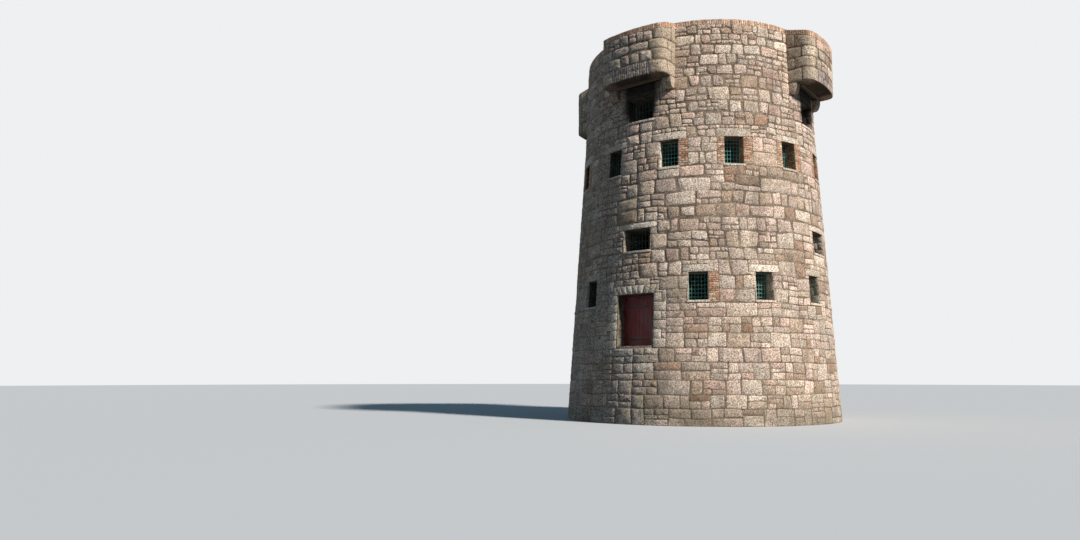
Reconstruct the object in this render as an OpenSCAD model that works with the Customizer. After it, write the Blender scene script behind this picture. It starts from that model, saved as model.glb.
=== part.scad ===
// Round masonry coast-defence tower with four machicolations, in millimetres.
// The origin is the centre of the base, +Z is up and the doorway faces -Y.
// An azimuth is an angle round the tower's axis from -Y towards +X, in degrees.

/* [Round wall] */
// Outer radius at the ground
base_r = 5180; // [4800:10:5600]
// Outer radius where the steeper batter ends
waist_r = 4420; // [4200:10:4700]
// Outer radius at the rim
rim_r = 4280; // [4000:10:4400]
// Height where the steeper batter ends
waist_z = 10600; // [9800:50:11600]
// Height of the rim's outer edge
rim_z = 14000; // [13800:10:14600]
// Inner radius of the store in the base
store_r = 2300; // [2100:10:2400]
// Inner radius of the first storey
first_room_r = 2500; // [2450:10:2600]
// Inner radius of the second storey
second_room_r = 2650; // [2610:10:2800]

/* [Storeys] */
// Paving on the ground under the store
store_floor_t = 300; // [150:10:400]
// Top of the base, where the doorway stands
base_z = 2600; // [2400:10:2900]
// Ledge that carries the second floor's joists
ledge_z = 7000; // [6900:10:7300]
// Thickness of the first floor's masonry under its flags, at the edge
first_floor_t = 400; // [350:10:480]
// Thickness of the flags
flag_t = 80; // [50:5:120]
// Depth of a floor joist
joist_h = 220; // [160:10:300]
// Width of a floor joist
joist_w = 150; // [100:10:200]
// Spacing of the joists
joist_pitch = 700; // [600:20:800]
// Thickness of the floor boards
board_t = 45; // [30:5:60]
// Thickness of the roof platform at its edge
platform_t = 440; // [400:10:500]
// Rise of the vaulted undersides of the first floor and the platform
vault_rise = 180; // [80:10:250]
// Length of the ladder holes
hatch_l = 750; // [600:10:900]
// Thickness of the hatch cover
hatch_cover_t = 60; // [40:5:90]
// Lap of the hatch cover over its hole
hatch_lap = 60; // [30:5:100]

/* [Openings] */
// Width of a loophole window
loop_w = 660; // [500:10:720]
// Height of a loophole window
loop_h = 950; // [700:10:1000]
// Sill of the first storey's loophole windows above the base
first_loop_sill = 1580; // [1400:10:1800]
// Sill of the second storey's loophole windows above the ledge
second_loop_sill = 1850; // [1600:10:2100]
// Width of the four upper openings in each storey
upper_w = 1040; // [800:10:1100]
// Sill of the first storey's upper openings below the ledge
first_upper_drop = 1000; // [950:10:1200]
// Height of the first storey's upper openings
first_upper_h = 770; // [600:10:800]
// Sill of the second storey's upper openings below the roof platform
second_upper_drop = 1410; // [1380:10:1700]
// Height of the second storey's upper openings
second_upper_h = 860; // [700:10:900]
// Width of the doorway
door_w = 1390; // [1200:10:1440]
// Height of the doorway above the base
door_h = 1880; // [1800:10:2000]

/* [Door] */
// Setback of the door frame's face behind the wall's outer radius at the base
door_setback = 560; // [400:10:700]
// Depth of the door frame's timbers
frame_d = 120; // [80:5:160]
// Width of the door frame's timbers
frame_w = 95; // [60:5:120]
// Thickness of the door's boards
leaf_t = 45; // [30:5:60]
// Number of boards in the door
leaf_boards = 7; // [5:1:9]
// Height of a ledge on the door's back
ledger_h = 160; // [120:10:200]
// Thickness of a ledge on the door's back
ledger_t = 35; // [25:5:45]

/* [Parapet] */
// Height of the rim above the roof platform
parapet_h = 1900; // [1800:10:2000]
// Thickness of the parapet at its foot, measured at the wall's rim radius
parapet_t = 880; // [700:10:1000]
// Height of the coping's outer face
coping_h = 180; // [120:10:240]
// Fall of the coping's top from the inner to the outer edge
coping_fall = 60; // [20:5:120]
// Overhang of the coping
coping_over = 12; // [5:1:30]

/* [Machicolations] */
// Outer radius of a machicolation's curved front
mach_r = 5120; // [5000:10:5170]
// Half the width of a machicolation
mach_half_w = 1260; // [1150:10:1350]
// Radius of its outer corners
mach_corner_r = 290; // [200:10:380]
// Thickness of its curved front
mach_front_t = 440; // [380:10:480]
// Thickness of its cheeks
mach_cheek_t = 350; // [300:10:400]
// Radius of its inner corners
mach_inner_corner_r = 90; // [60:10:140]
// Foot of a machicolation below the rim
mach_foot_drop = 2000; // [1950:10:2050]
// Outer top edge of its coping below the rim
mach_rim_drop = 270; // [220:10:400]
// Slope of its coping, as rise over run
mach_slope = 0.29; // [0.2:0.01:0.32]

/* [Corbels] */
// Width of a corbel
corbel_w = 330; // [280:10:350]
// Foot of a corbel below the machicolation
corbel_drop = 370; // [300:10:450]
// Projection of a corbel's foot from the wall, at its outer side
corbel_toe = 130; // [110:10:180]
// Projection of a corbel's head from the wall, at its outer side
corbel_reach = 310; // [260:10:400]
// Upright band at the head of a corbel
corbel_band = 60; // [40:10:100]

/* [Hidden] */
// Running clearance where curved faces meet
gap = 0.3;
$fn = 360;

// Azimuths of the loophole windows on the right of the doorway's axis
first_loop_az = [26.2, 53, 81.2, 109.4, 137.7, 165.9];
second_loop_az = [14.1, 42.3, 70.5, 97.9, 125.3, 152.6];
// Azimuths of the four machicolations and of the upper openings under them
side_az = [0, 90, 180, 270];

// Azimuths of the piers where one wall segment ends and the next begins
first_pier_az = [39.6, 67.1, 123.5, 151.8, 208.2, 236.5, 292.9, 320.4];
second_pier_az = [28.2, 56.4, 111.6, 164.3, 195.7, 248.4, 303.6, 331.8];
// Places of the wall segments, of the parapet's quarters and of the machicolations, in order of azimuth
SEGMENTS = ["front", "front_right", "right", "back_right", "back", "back_left", "left", "front_left"];
QUARTERS = ["front_right", "back_right", "back_left", "front_left"];
SIDES = ["front", "right", "back", "left"];

// Outer radius of the round wall at height z
function wall_r(z) = z > waist_z
    ? rim_r + (waist_r - rim_r) * (rim_z - z) / (rim_z - waist_z)
    : waist_r + (base_r - waist_r) * (waist_z - z) / waist_z;

// Heights and radii that several pieces share
platform_z = rim_z - parapet_h;
mach_foot_z = rim_z - mach_foot_drop;
mach_rim_z = rim_z - mach_rim_drop;
first_seat_z = base_z - first_floor_t;
first_loop_z = base_z + first_loop_sill;
second_loop_z = ledge_z + second_loop_sill;
first_upper_z = ledge_z - first_upper_drop;
second_upper_z = platform_z - second_upper_drop;
parapet_in_r = rim_r - parapet_t;
parapet_top = rim_z - coping_h;
platform_seat_z = platform_z - platform_t;
bay_half_w = mach_half_w - mach_cheek_t;
// Height of a machicolation's coping where its slope meets the axis
mach_apex_z = mach_rim_z + mach_slope * mach_r;
// Door planes, measured from the tower's axis
frame_face = wall_r(base_z) - door_setback;
frame_back = frame_face - frame_d;
door_top = base_z + door_h;
// Ladder holes lie between two joists
hatch_w = joist_pitch - joist_w;
hatch_y = 1.5 * joist_pitch;
// A length that reaches past any face
past = 200;
// Width and depth of the grooves between the door's boards
groove_w = 14;
groove_d = 7;

module at_azimuth(az) rotate([0, 0, az]) children();

// Points of the battered outer face from height low to height high
function batter(low, high, out = 0) = concat(
    [[wall_r(low) + out, low]],
    low < waist_z && high > waist_z ? [[waist_r + out, waist_z]] : [],
    [[wall_r(high) + out, high]]);

// A sector of a turned profile between two azimuths
module sector(from, to) rotate([0, 0, from - 90]) rotate_extrude(angle = to - from) children();

// A straight opening from the room to the open air
module passage(az, width, low, height)
    at_azimuth(az) translate([-width / 2, -base_r - past, low])
        cube([width, base_r + past - second_room_r / 2, height]);

// The loophole windows of one storey that lie between two azimuths
module loopholes(list, low, from, to)
    for (az = list, side = [1, -1]) {
        turned = side * az < from ? side * az + 360 : side * az;
        if (turned > from && turned < to) passage(turned, loop_w, low, loop_h);
    }

// The upper openings that lie between two azimuths
module upper_openings(low, height, from, to)
    for (az = side_az) if (az > from && az < to) passage(az, upper_w, low, height);

// Base with a store inside, and a rebate that carries the first floor
module base_drum() color("rosybrown")
    rotate_extrude() polygon(concat([[0, 0]], batter(0, base_z),
        [[first_room_r, base_z], [first_room_r, first_seat_z], [store_r, first_seat_z],
         [store_r, store_floor_t], [0, store_floor_t]]));

module first_storey_wall(from, to) color("tan") difference() {
    sector(from, to)
        polygon(concat([[first_room_r, base_z]], batter(base_z, ledge_z), [[first_room_r, ledge_z]]));
    loopholes(first_loop_az, first_loop_z, from, to);
    upper_openings(first_upper_z, first_upper_h, from, to);
    if (from < 0) passage(0, door_w, base_z - past, door_h + past);
}

module second_storey_wall(from, to) color("wheat") difference() {
    sector(from, to) polygon(concat(
        [[second_room_r, ledge_z]], batter(ledge_z, platform_z),
        [[parapet_in_r, platform_z], [parapet_in_r, platform_seat_z], [second_room_r, platform_seat_z]]));
    loopholes(second_loop_az, second_loop_z, from, to);
    if (from < 180 && to > 180) passage(180, loop_w, second_loop_z, loop_h);
    upper_openings(second_upper_z, second_upper_h, from, to);
}

// Space under a shallow dome that springs from height low at radius span
module vault(span, low) {
    vault_r = (span * span + vault_rise * vault_rise) / (2 * vault_rise);
    translate([0, 0, low + vault_rise - vault_r]) sphere(r = vault_r);
}

// Vaulted masonry floor with its flags, which run on into the doorway
module first_floor() color("gray") difference() {
    union() {
        translate([0, 0, first_seat_z]) cylinder(r = first_room_r - gap, h = first_floor_t + flag_t);
        translate([gap - door_w / 2, -frame_back, base_z])
            cube([door_w - 2 * gap, frame_back - first_room_r / 2, flag_t]);
    }
    vault(store_r, first_seat_z);
    ladder_hole(first_seat_z - past);
}

// Joists run along X and rest on the ledge between the two storeys
module second_floor_joists() color("saddlebrown") intersection() {
    for (i = [-3 : 3]) translate([-base_r, i * joist_pitch - joist_w / 2, ledge_z])
        cube([2 * base_r, joist_w, joist_h]);
    translate([0, 0, ledge_z - past]) cylinder(r = second_room_r - gap, h = joist_h + 2 * past);
}

module second_floor_boards() color("burlywood") difference() {
    translate([0, 0, ledge_z + joist_h]) cylinder(r = second_room_r - gap, h = board_t);
    ladder_hole(ledge_z);
}

module ladder_hole(low)
    translate([-hatch_l / 2, hatch_y - hatch_w / 2, low]) cube([hatch_l, hatch_w, 5 * past]);

// Masonry platform on the wall's rebate, vaulted on its underside
module roof_platform() color("darkgray") difference() {
    translate([0, 0, platform_seat_z]) cylinder(r = parapet_in_r - gap, h = platform_t);
    vault(second_room_r, platform_seat_z);
    ladder_hole(platform_seat_z - past);
}

module roof_hatch_cover() color("sienna")
    translate([-hatch_l / 2 - hatch_lap, hatch_y - hatch_w / 2 - hatch_lap, platform_z])
        cube([hatch_l + 2 * hatch_lap, hatch_w + 2 * hatch_lap, hatch_cover_t]);

// The gap in the parapet that opens into each machicolation
module bay_gaps(half_w)
    for (az = side_az) at_azimuth(az) translate([-half_w, -base_r - past, platform_z - past])
        cube([2 * half_w, base_r, rim_z]);

module parapet_wall(az) color("wheat") difference() {
    sector(az, az + 90) polygon(concat(
        [[parapet_in_r, platform_z]], batter(platform_z, parapet_top), [[parapet_in_r, parapet_top]]));
    bay_gaps(bay_half_w);
}

module parapet_coping(az) color("coral") difference() {
    sector(az, az + 90) polygon([
        [parapet_in_r - coping_over, parapet_top], [wall_r(parapet_top) + coping_over, parapet_top],
        [wall_r(parapet_top) + coping_over, rim_z],
        [parapet_in_r - coping_over, rim_z + coping_fall]]);
    bay_gaps(bay_half_w);
}

// A block with parallel sides, a front that follows the tower's curve and rounded front corners
module curved_block(half_w, front_r, corner_r, low, high) {
    side = half_w - corner_r;
    reach = sqrt(pow(front_r - corner_r, 2) - side * side);
    translate([0, 0, low]) {
        intersection() {
            cylinder(r = front_r, h = high - low);
            linear_extrude(high - low)
                polygon([[0, 0], [-2 * side, -2 * reach], [2 * side, -2 * reach]]);
        }
        translate([-half_w, -reach, 0]) cube([2 * half_w, reach - parapet_in_r, high - low]);
        for (x = [-side, side]) translate([x, -reach, 0]) cylinder(r = corner_r, h = high - low);
    }
}

// What lies under a machicolation's sloping top, lowered by drop
module under_slope(drop) {
    edge = mach_r + past;
    rotate_extrude() polygon([[0, 0], [edge, 0], [edge, mach_apex_z - mach_slope * edge - drop],
                              [0, mach_apex_z - drop]]);
}

// The round wall's own body, which a machicolation stands against
module wall_core(out) rotate_extrude() polygon(concat([[0, 0]], batter(0, rim_z, out), [[0, rim_z]]));

module machicolation() color("wheat") difference() {
    intersection() {
        curved_block(mach_half_w, mach_r, mach_corner_r, mach_foot_z, rim_z);
        under_slope(coping_h);
    }
    curved_block(bay_half_w, mach_r - mach_front_t, mach_inner_corner_r, mach_foot_z - past, rim_z + past);
    wall_core(gap);
}

module machicolation_coping() color("coral") difference() {
    intersection() {
        curved_block(mach_half_w + coping_over, mach_r + coping_over, mach_corner_r + coping_over,
                     mach_foot_z, rim_z + past);
        difference() {
            under_slope(0);
            under_slope(coping_h);
        }
    }
    curved_block(bay_half_w - coping_over, mach_r - mach_front_t - coping_over, mach_inner_corner_r,
                 mach_foot_z - past, rim_z + 2 * past);
    cylinder(r = wall_r(parapet_top) + coping_over + gap, h = 2 * rim_z);
}

// Distance of the wall's face from the tower's middle plane at a corbel's outer side, at height z
function wall_beside_corbel(z) = sqrt(wall_r(z) ^ 2 - mach_half_w ^ 2);

// Outline of a corbel from the wall outwards: a flat toe, a quarter round and an upright band
function corbel_outline(wall) = let (
    foot = mach_foot_z - corbel_drop,
    top = mach_foot_z - corbel_band,
    toe = wall_beside_corbel(foot) + corbel_toe,
    head = wall_beside_corbel(mach_foot_z) + corbel_reach)
    concat([[wall, mach_foot_z], [wall, foot], [toe, foot]],
           [for (a = [15 : 15 : 90]) [toe + (head - toe) * sin(a), top - (top - foot) * cos(a)]],
           [[head, mach_foot_z]]);

module machicolation_corbels() color("silver") difference() {
    for (side = [-1, 1])
        translate([side * (mach_half_w - corbel_w / 2) + corbel_w / 2, 0, 0]) rotate([90, 0, -90])
            linear_extrude(corbel_w) polygon(corbel_outline(rim_r - parapet_t));
    wall_core(gap);
}

module door_threshold() color("silver") intersection() {
    translate([gap - door_w / 2, -base_r, base_z])
        cube([door_w - 2 * gap, base_r - frame_back - gap, flag_t]);
    wall_core(0);
}

module door_frame() color("firebrick") translate([0, -frame_face, base_z + flag_t]) difference() {
    translate([gap - door_w / 2, 0, 0]) cube([door_w - 2 * gap, frame_d, door_h - flag_t - gap]);
    translate([frame_w - door_w / 2, -past, -past])
        cube([door_w - 2 * frame_w, frame_d + 2 * past, door_h - flag_t - frame_w + past]);
}

module door_leaf() color("crimson")
    translate([0, -frame_face + frame_d / 2, base_z + flag_t]) {
        width = door_w - 2 * frame_w - 2 * gap;
        height = door_h - flag_t - frame_w - 2 * gap;
        board = width / leaf_boards;
        difference() {
            translate([-width / 2, -leaf_t, gap]) cube([width, leaf_t, height]);
            for (i = [1 : leaf_boards - 1])
                translate([i * board - width / 2, -leaf_t, -past]) linear_extrude(height + 2 * past)
                    polygon([[-groove_w / 2, 0], [0, groove_d], [groove_w / 2, 0], [0, -groove_d]]);
        }
        for (z = [height * 0.1, height * 0.45, height * 0.8])
            translate([-width * 0.46, 0, z]) cube([width * 0.92, ledger_t, ledger_h]);
    }

base_drum();
for (i = [0 : 7]) {
    turn = i == 0 ? 360 : 0;
    first_storey_wall(first_pier_az[(i + 7) % 8] - turn, first_pier_az[i]);
    second_storey_wall(second_pier_az[(i + 7) % 8] - turn, second_pier_az[i]);
}
first_floor();
second_floor_joists();
second_floor_boards();
roof_platform();
roof_hatch_cover();
for (i = [0 : 3]) {
    parapet_wall(side_az[i]);
    parapet_coping(side_az[i]);
    at_azimuth(side_az[i]) machicolation();
    at_azimuth(side_az[i]) machicolation_corbels();
    at_azimuth(side_az[i]) machicolation_coping();
}
door_threshold();
door_frame();
door_leaf();
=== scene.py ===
"""Looks of a round masonry coast-defence tower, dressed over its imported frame, in metres.

An azimuth is an angle round the tower's axis from -Y, where the door is, towards +X, in degrees.
Stones and bricks are modelled on a sheet, which is the flat plan of one surface: x runs along it,
y runs up it or across it, and z stands out of it. A cell is one stone's rectangle on a sheet, as
(x0, x1, y0, y1). A place function, place(x, y, out), then bends the sheet onto the tower.
"""
import math
import random
from collections import namedtuple

import bmesh
import bpy
from mathutils import Matrix, Vector, noise


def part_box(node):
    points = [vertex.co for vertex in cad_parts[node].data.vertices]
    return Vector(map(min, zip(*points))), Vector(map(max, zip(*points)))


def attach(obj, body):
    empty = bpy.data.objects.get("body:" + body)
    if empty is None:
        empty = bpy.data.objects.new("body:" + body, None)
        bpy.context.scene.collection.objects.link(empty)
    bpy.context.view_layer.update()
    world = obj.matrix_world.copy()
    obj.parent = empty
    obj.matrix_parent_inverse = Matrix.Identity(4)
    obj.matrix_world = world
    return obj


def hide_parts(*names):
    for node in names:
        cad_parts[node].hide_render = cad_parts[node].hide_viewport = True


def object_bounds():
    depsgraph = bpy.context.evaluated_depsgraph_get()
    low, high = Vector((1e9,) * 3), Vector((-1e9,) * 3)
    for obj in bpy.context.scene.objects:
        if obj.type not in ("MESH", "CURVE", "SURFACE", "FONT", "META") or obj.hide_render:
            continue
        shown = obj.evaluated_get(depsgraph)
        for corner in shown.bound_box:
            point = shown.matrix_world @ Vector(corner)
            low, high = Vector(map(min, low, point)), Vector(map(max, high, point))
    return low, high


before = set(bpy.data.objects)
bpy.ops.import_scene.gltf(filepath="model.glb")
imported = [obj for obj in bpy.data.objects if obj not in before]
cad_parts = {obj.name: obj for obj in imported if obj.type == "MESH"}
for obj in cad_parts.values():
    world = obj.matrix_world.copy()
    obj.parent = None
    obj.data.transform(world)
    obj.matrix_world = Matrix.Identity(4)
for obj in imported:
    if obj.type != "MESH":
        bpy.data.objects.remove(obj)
cad_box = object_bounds()
# All random choices, drawn in the order of the script
rng = random.Random(11)

# Azimuths of the loophole windows on the right of the door's axis, and of the four machicolations
FIRST_LOOPS = (26.2, 53, 81.2, 109.4, 137.7, 165.9)
SECOND_LOOPS = (14.1, 42.3, 70.5, 97.9, 125.3, 152.6)
BACK_LOOP = 180
SIDES = {"front": 0, "right": 90, "back": 180, "left": 270}
QUARTERS = {"front_right": 0, "back_right": 90, "back_left": 180, "front_left": 270}
# Widths and heights of the openings in the wall
LOOP_W = 0.66
LOOP_H = 0.95
UPPER_W = 1.04
DOOR_W = 1.39
DOOR_H = 1.88
# Levels of the frame, and sills of the openings, with the upper ones' heights
BASE_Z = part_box("base_drum")[1][2]
LEDGE_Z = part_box("second_floor_joists")[0][2]
PLATFORM_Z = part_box("roof_platform")[1][2]
FIRST_LOOP_Z = BASE_Z + 1.58
SECOND_LOOP_Z = LEDGE_Z + 1.85
FIRST_UPPER = (LEDGE_Z - 1.0, 0.77)
SECOND_UPPER = (PLATFORM_Z - 1.41, 0.86)
# Heights of the rim's outer edge, and of the level where the wall's batter steepens
RIM_Z = cad_box[1][2] - 0.06
WAIST_Z = 10.6
# Setback of the grilles behind the wall's face, and depth of the linings of the reveals
GRILLE_SETBACK = 0.40
REVEAL_D = 0.46
# Windows left of the door whose jambs have no bricks, and the widths of brick jambs elsewhere
STONE_JAMBS = (-26.2, -14.1)
WIDE_JAMB = 0.34
NARROW_JAMB = 0.27
# A sill's reach past its opening, its height and its depth
SILL_REACH = 0.05
SILL_H = 0.085
SILL_D = 0.2
# The doorway's jamb blocks, long and short in turn, and its flat arch
JAMB_BLOCKS = 6
JAMB_BLOCK_WS = (0.42, 0.27)
ARCH_H = 0.30
ARCH_HALF_W = DOOR_W / 2 + 0.18
VOUSSOIRS = 9
# Machicolations: half width, radius of the front, radii of the corners and thicknesses
MACH_HALF_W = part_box("machicolation_front")[1][0]
MACH_R = -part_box("machicolation_front")[0][1]
MACH_CORNER_R = 0.29
MACH_INNER_CORNER_R = 0.09
MACH_FRONT_T = 0.44
MACH_CHEEK_T = 0.35
# Their foot, the slope of their top, and the height of the top at the front
MACH_FOOT_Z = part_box("machicolation_front")[0][2]
MACH_SLOPE = 0.29
MACH_RIM_Z = 13.73
# Corbels: width and foot
CORBEL_W = 0.33
CORBEL_FOOT_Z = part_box("machicolation_corbels_front")[0][2]
# Parapet's top and inner radius, and the copings' height, overhang and fall to the outer edge
PARAPET_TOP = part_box("parapet_coping_front_right")[0][2]
PARAPET_IN_R = 3.40
COPING_H = RIM_Z - PARAPET_TOP
COPING_OVER = 0.012
COPING_FALL = 0.06
# Half width of the bays that the machicolations close
BAY_HALF_W = MACH_HALF_W - MACH_CHEEK_T
# Top of the machicolations' walls at the front, and the height below it in which courses bend to the slope
MACH_TOP = MACH_RIM_Z - COPING_H
SLOPED = 0.5
# Bottom courses of bricks set upright, and how far quoins reach round the corner from each side, by turns
SOLDIER_H = 0.23
SOLDIER_ROWS = 2
SOLDIER_PITCH = 0.085
QUOIN_REACHES = (0.30, 0.14)
QUOIN_BACKS = (0.06, 0.30)
# Heights of the quoins' courses, and of the courses inside the parapet and the bays
QUOIN_PITCH = 0.33
INNER_PITCH = 0.42
# Depth that the coping's bricks lie below its outline, and how far in their mortar core is
COPING_SUNK = 0.013
CORE_IN = 0.010
# Joint line where the foot's large blocks end
FOOT_TOP = 4.08
# How far a stone reaches into its mortar bed, and the length of edge past which it gets more points
BED = 0.03
LONG_STONE = 0.36
# A brick's length, height and joint, and the pitch of bricks laid on edge
BRICK_L = 0.215
BRICK_H = 0.065
BRICK_JOINT = 0.011
BRICK_PITCH = 0.078
# Bays: half width of their floors, the flags' joints along them, and the slots' inner and outer edges
BAY_FLOOR = 0.9
BAY_FLAGS = (-BAY_FLOOR, -0.28, 0.35, BAY_FLOOR)
SLOT_IN = 4.33
SLOT_OUT = 4.64
# The boards over each slot, and how far they and their bearer lie below the platform
SLOT_BOARDS = 9
SLOT_BOARD_W = 2 * BAY_FLOOR / SLOT_BOARDS
SLOT_BOARD_SUNK = 0.012
SLOT_BOARD_T = 0.045
BEARER_SUNK = 0.058
BEARER_T = 0.09
# The flags' width and length, the gap round them, and how far the outer rows stay off the parapet
FLAG_W = 0.55
FLAG_L = 0.75
FLAG_GAP = 0.02
FLAG_R = PARAPET_IN_R - FLAG_GAP
FLAG_MARGIN = 0.12
# Hatch: its boards, their thickness and gap, and the width of its battens and their place from the ends
HATCH_BOARDS = 5
HATCH_BOARD_T = 0.03
HATCH_GAP = 0.004
BATTEN_W = 0.12
BATTEN_IN = 0.08

Finish = namedtuple("Finish", "joint wobble rounding proud lean arris crown rough")
# Masonry finishes: joint and wobble, corner rounding in percent, least and most stand-out, lean, arris,
# crown, and the height of the lumps on the face
SQUARED = Finish(0.008, 0.07, (6, 11, 17), (0.004, 0.009), 0.006, 0.007, 0.002, 0.007)
COURSED = Finish(0.008, 0.14, (9, 16, 25), (0.004, 0.010), 0.008, 0.008, 0.003, 0.008)
RUBBLE = Finish(0.009, 0.17, (11, 20, 32), (0.005, 0.016), 0.012, 0.009, 0.003, 0.009)
DRESSED_FINISH = Finish(0.006, 0.012, (4, 6, 8), (0.010, 0.014), 0.006, 0.008, 0.001, 0)
SILL = Finish(0.004, 0.008, (3, 4, 5), (0.026, 0.032), 0.004, 0.008, 0.001, 0)
BRICKWORK = Finish(0.0055, 0.03, (2, 5, 9), (0.002, 0.007), 0.014, 0.004, 0.001, 0)
FLAGGING = Finish(0.008, 0.02, (2, 4, 7), (0.004, 0.010), 0.006, 0.008, 0.001, 0)
PLANKS = Finish(0.0018, 0.0, (1, 2, 3), (0.001, 0.004), 0.01, 0.003, 0.0002, 0)
IRON_PLATE = Finish(0.0, 0.0, (20, 20, 20), (0.006, 0.006), 0, 0.002, 0.0, 0)
# Spread of the joints' widths, and the range of each random move of a corner or a lump
JOINT_SPREAD = (0.75, 1.3)
UNEVEN = (-0.3, 1)

Grain = namedtuple("Grain", "small large slim")
# Smallest and largest stone by area, and the longest shape
LARGE_GRAIN = Grain(0.09, 0.52, 3.4)
MIXED_GRAIN = Grain(0.05, 0.75, 3.0)
SMALL_GRAIN = Grain(0.040, 0.60, 2.6)
# A stone is halved only across a side that is at least twice this long
LEAST_STONE = 0.10
# Below 1, this makes large stones commoner than small ones
GRAIN_SKEW = 0.7
# Lengths in which a mason builds a course
BUILD_LENGTHS = (0.5, 1.4)
LONGEST_BUILD = 1.7

# Joint lines that run round the tower, with the piece and the kind of walling above each
WALL_LIFTS = (
    ("base", 0, BASE_Z, 0.48, LARGE_GRAIN, SQUARED),
    ("first_storey", BASE_Z, FOOT_TOP, 0.46, LARGE_GRAIN, SQUARED),
    ("first_storey", FOOT_TOP, LEDGE_Z, 0.46, MIXED_GRAIN, COURSED),
    ("second_storey", LEDGE_Z, SECOND_LOOP_Z + LOOP_H, 0.44, MIXED_GRAIN, COURSED),
    ("second_storey", SECOND_LOOP_Z + LOOP_H, MACH_FOOT_Z, 0.42, SMALL_GRAIN, RUBBLE),
    ("parapet", MACH_FOOT_Z, PARAPET_TOP, 0.4, SMALL_GRAIN, RUBBLE),
)


def wall_profile():
    """(height, radius) of the round wall's outer face, from the vertices of the frame's own wall nodes."""
    widest = {}
    for name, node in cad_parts.items():
        if name.startswith(("base_drum", "first_storey", "second_storey", "parapet_wall")):
            for vertex in node.data.vertices:
                height = round(vertex.co.z, 3)
                radius = math.hypot(vertex.co.x, vertex.co.y)
                widest[height] = max(widest.get(height, 0), radius)
    return sorted((z, r) for z, r in widest.items() if r > PARAPET_IN_R + 0.6)


PROFILE = wall_profile()


def wall_r(z):
    """Outer radius of the round wall at height z."""
    for (low, r_low), (high, r_high) in zip(PROFILE, PROFILE[1:]):
        if z <= high or high == PROFILE[-1][0]:
            return r_low + (r_high - r_low) * (z - low) / (high - low)


BASE_R = wall_r(0)


def polar(azimuth, radius, z):
    """The point at an azimuth in radians, a radius and a height."""
    return Vector((radius * math.sin(azimuth), -radius * math.cos(azimuth), z))


def turned(azimuth):
    """The turn about the tower's axis from the door to an azimuth."""
    return Matrix.Rotation(math.radians(azimuth), 3, "Z")


def stay(x, y):
    """The drift of a sheet whose lines are straight."""
    return 0, 0, 1


def start_stone(mesh, cell, finish, depth, drift):
    """The face that a stone grows from: its cell less the joint, with each corner moved at random."""
    x0, x1, y0, y1 = cell
    gap = finish.joint * rng.uniform(*JOINT_SPREAD)
    reach = finish.wobble * min(x1 - x0, y1 - y0)
    corners = []
    for x, y, in_x, in_y in ((x0, y0, 1, 1), (x1, y0, -1, 1), (x1, y1, -1, -1), (x0, y1, 1, -1)):
        move_x, move_y, calm = drift(x, y)
        x += move_x + in_x * (gap + calm * reach * rng.uniform(*UNEVEN))
        y += move_y + in_y * (gap + calm * reach * rng.uniform(*UNEVEN))
        corners.append(mesh.verts.new((x, y, -depth)))
    return mesh.faces.new(corners)


def extrude_up(mesh, height):
    """Makes solids of that height from all the flat faces of a mesh."""
    raised = bmesh.ops.extrude_face_region(mesh, geom=mesh.faces[:], use_keep_orig=True)["geom"]
    bmesh.ops.translate(mesh, verts=[item for item in raised if isinstance(item, bmesh.types.BMVert)],
                        vec=(0, 0, height))


def round_corners(mesh, stone, rounding, depth):
    """Bevels the upright edges at the stones' corners, with one of the roundings for each stone."""
    uprights = [edge for edge in mesh.edges if edge.calc_face_angle(0) > 0.5
                and abs(edge.verts[0].co.z - edge.verts[1].co.z) > depth / 2]
    for share, offset in enumerate(rounding):
        chosen = [edge for edge in uprights if edge.is_valid
                  and (edge.link_faces[0][stone] * 7 // 5) % len(rounding) == share]
        bmesh.ops.bevel(mesh, geom=chosen, offset=offset, offset_type="PERCENT", affect="EDGES",
                        segments=2 if offset > 12 else 1, profile=0.5, material=-1)


def roughen(mesh, centres, height):
    """Gives each poked face a ring half-way to its rim, and moves the ring and the centre at random."""
    for vertex in centres:
        vertex.co.z += height * rng.uniform(*UNEVEN)
    spokes = [edge for centre in centres for edge in centre.link_edges]
    parted = bmesh.ops.bisect_edges(mesh, edges=spokes, cuts=1)["geom_split"]
    ring = [item for item in parted if isinstance(item, bmesh.types.BMVert)]
    for vertex in ring:
        vertex.co.z += height * rng.uniform(*UNEVEN)
    bmesh.ops.connect_verts(mesh, verts=ring)


def bend(mesh, place):
    """The mesh taken from its sheet onto the tower."""
    for vertex in mesh.verts:
        vertex.co = place(*vertex.co)
    return mesh


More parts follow.
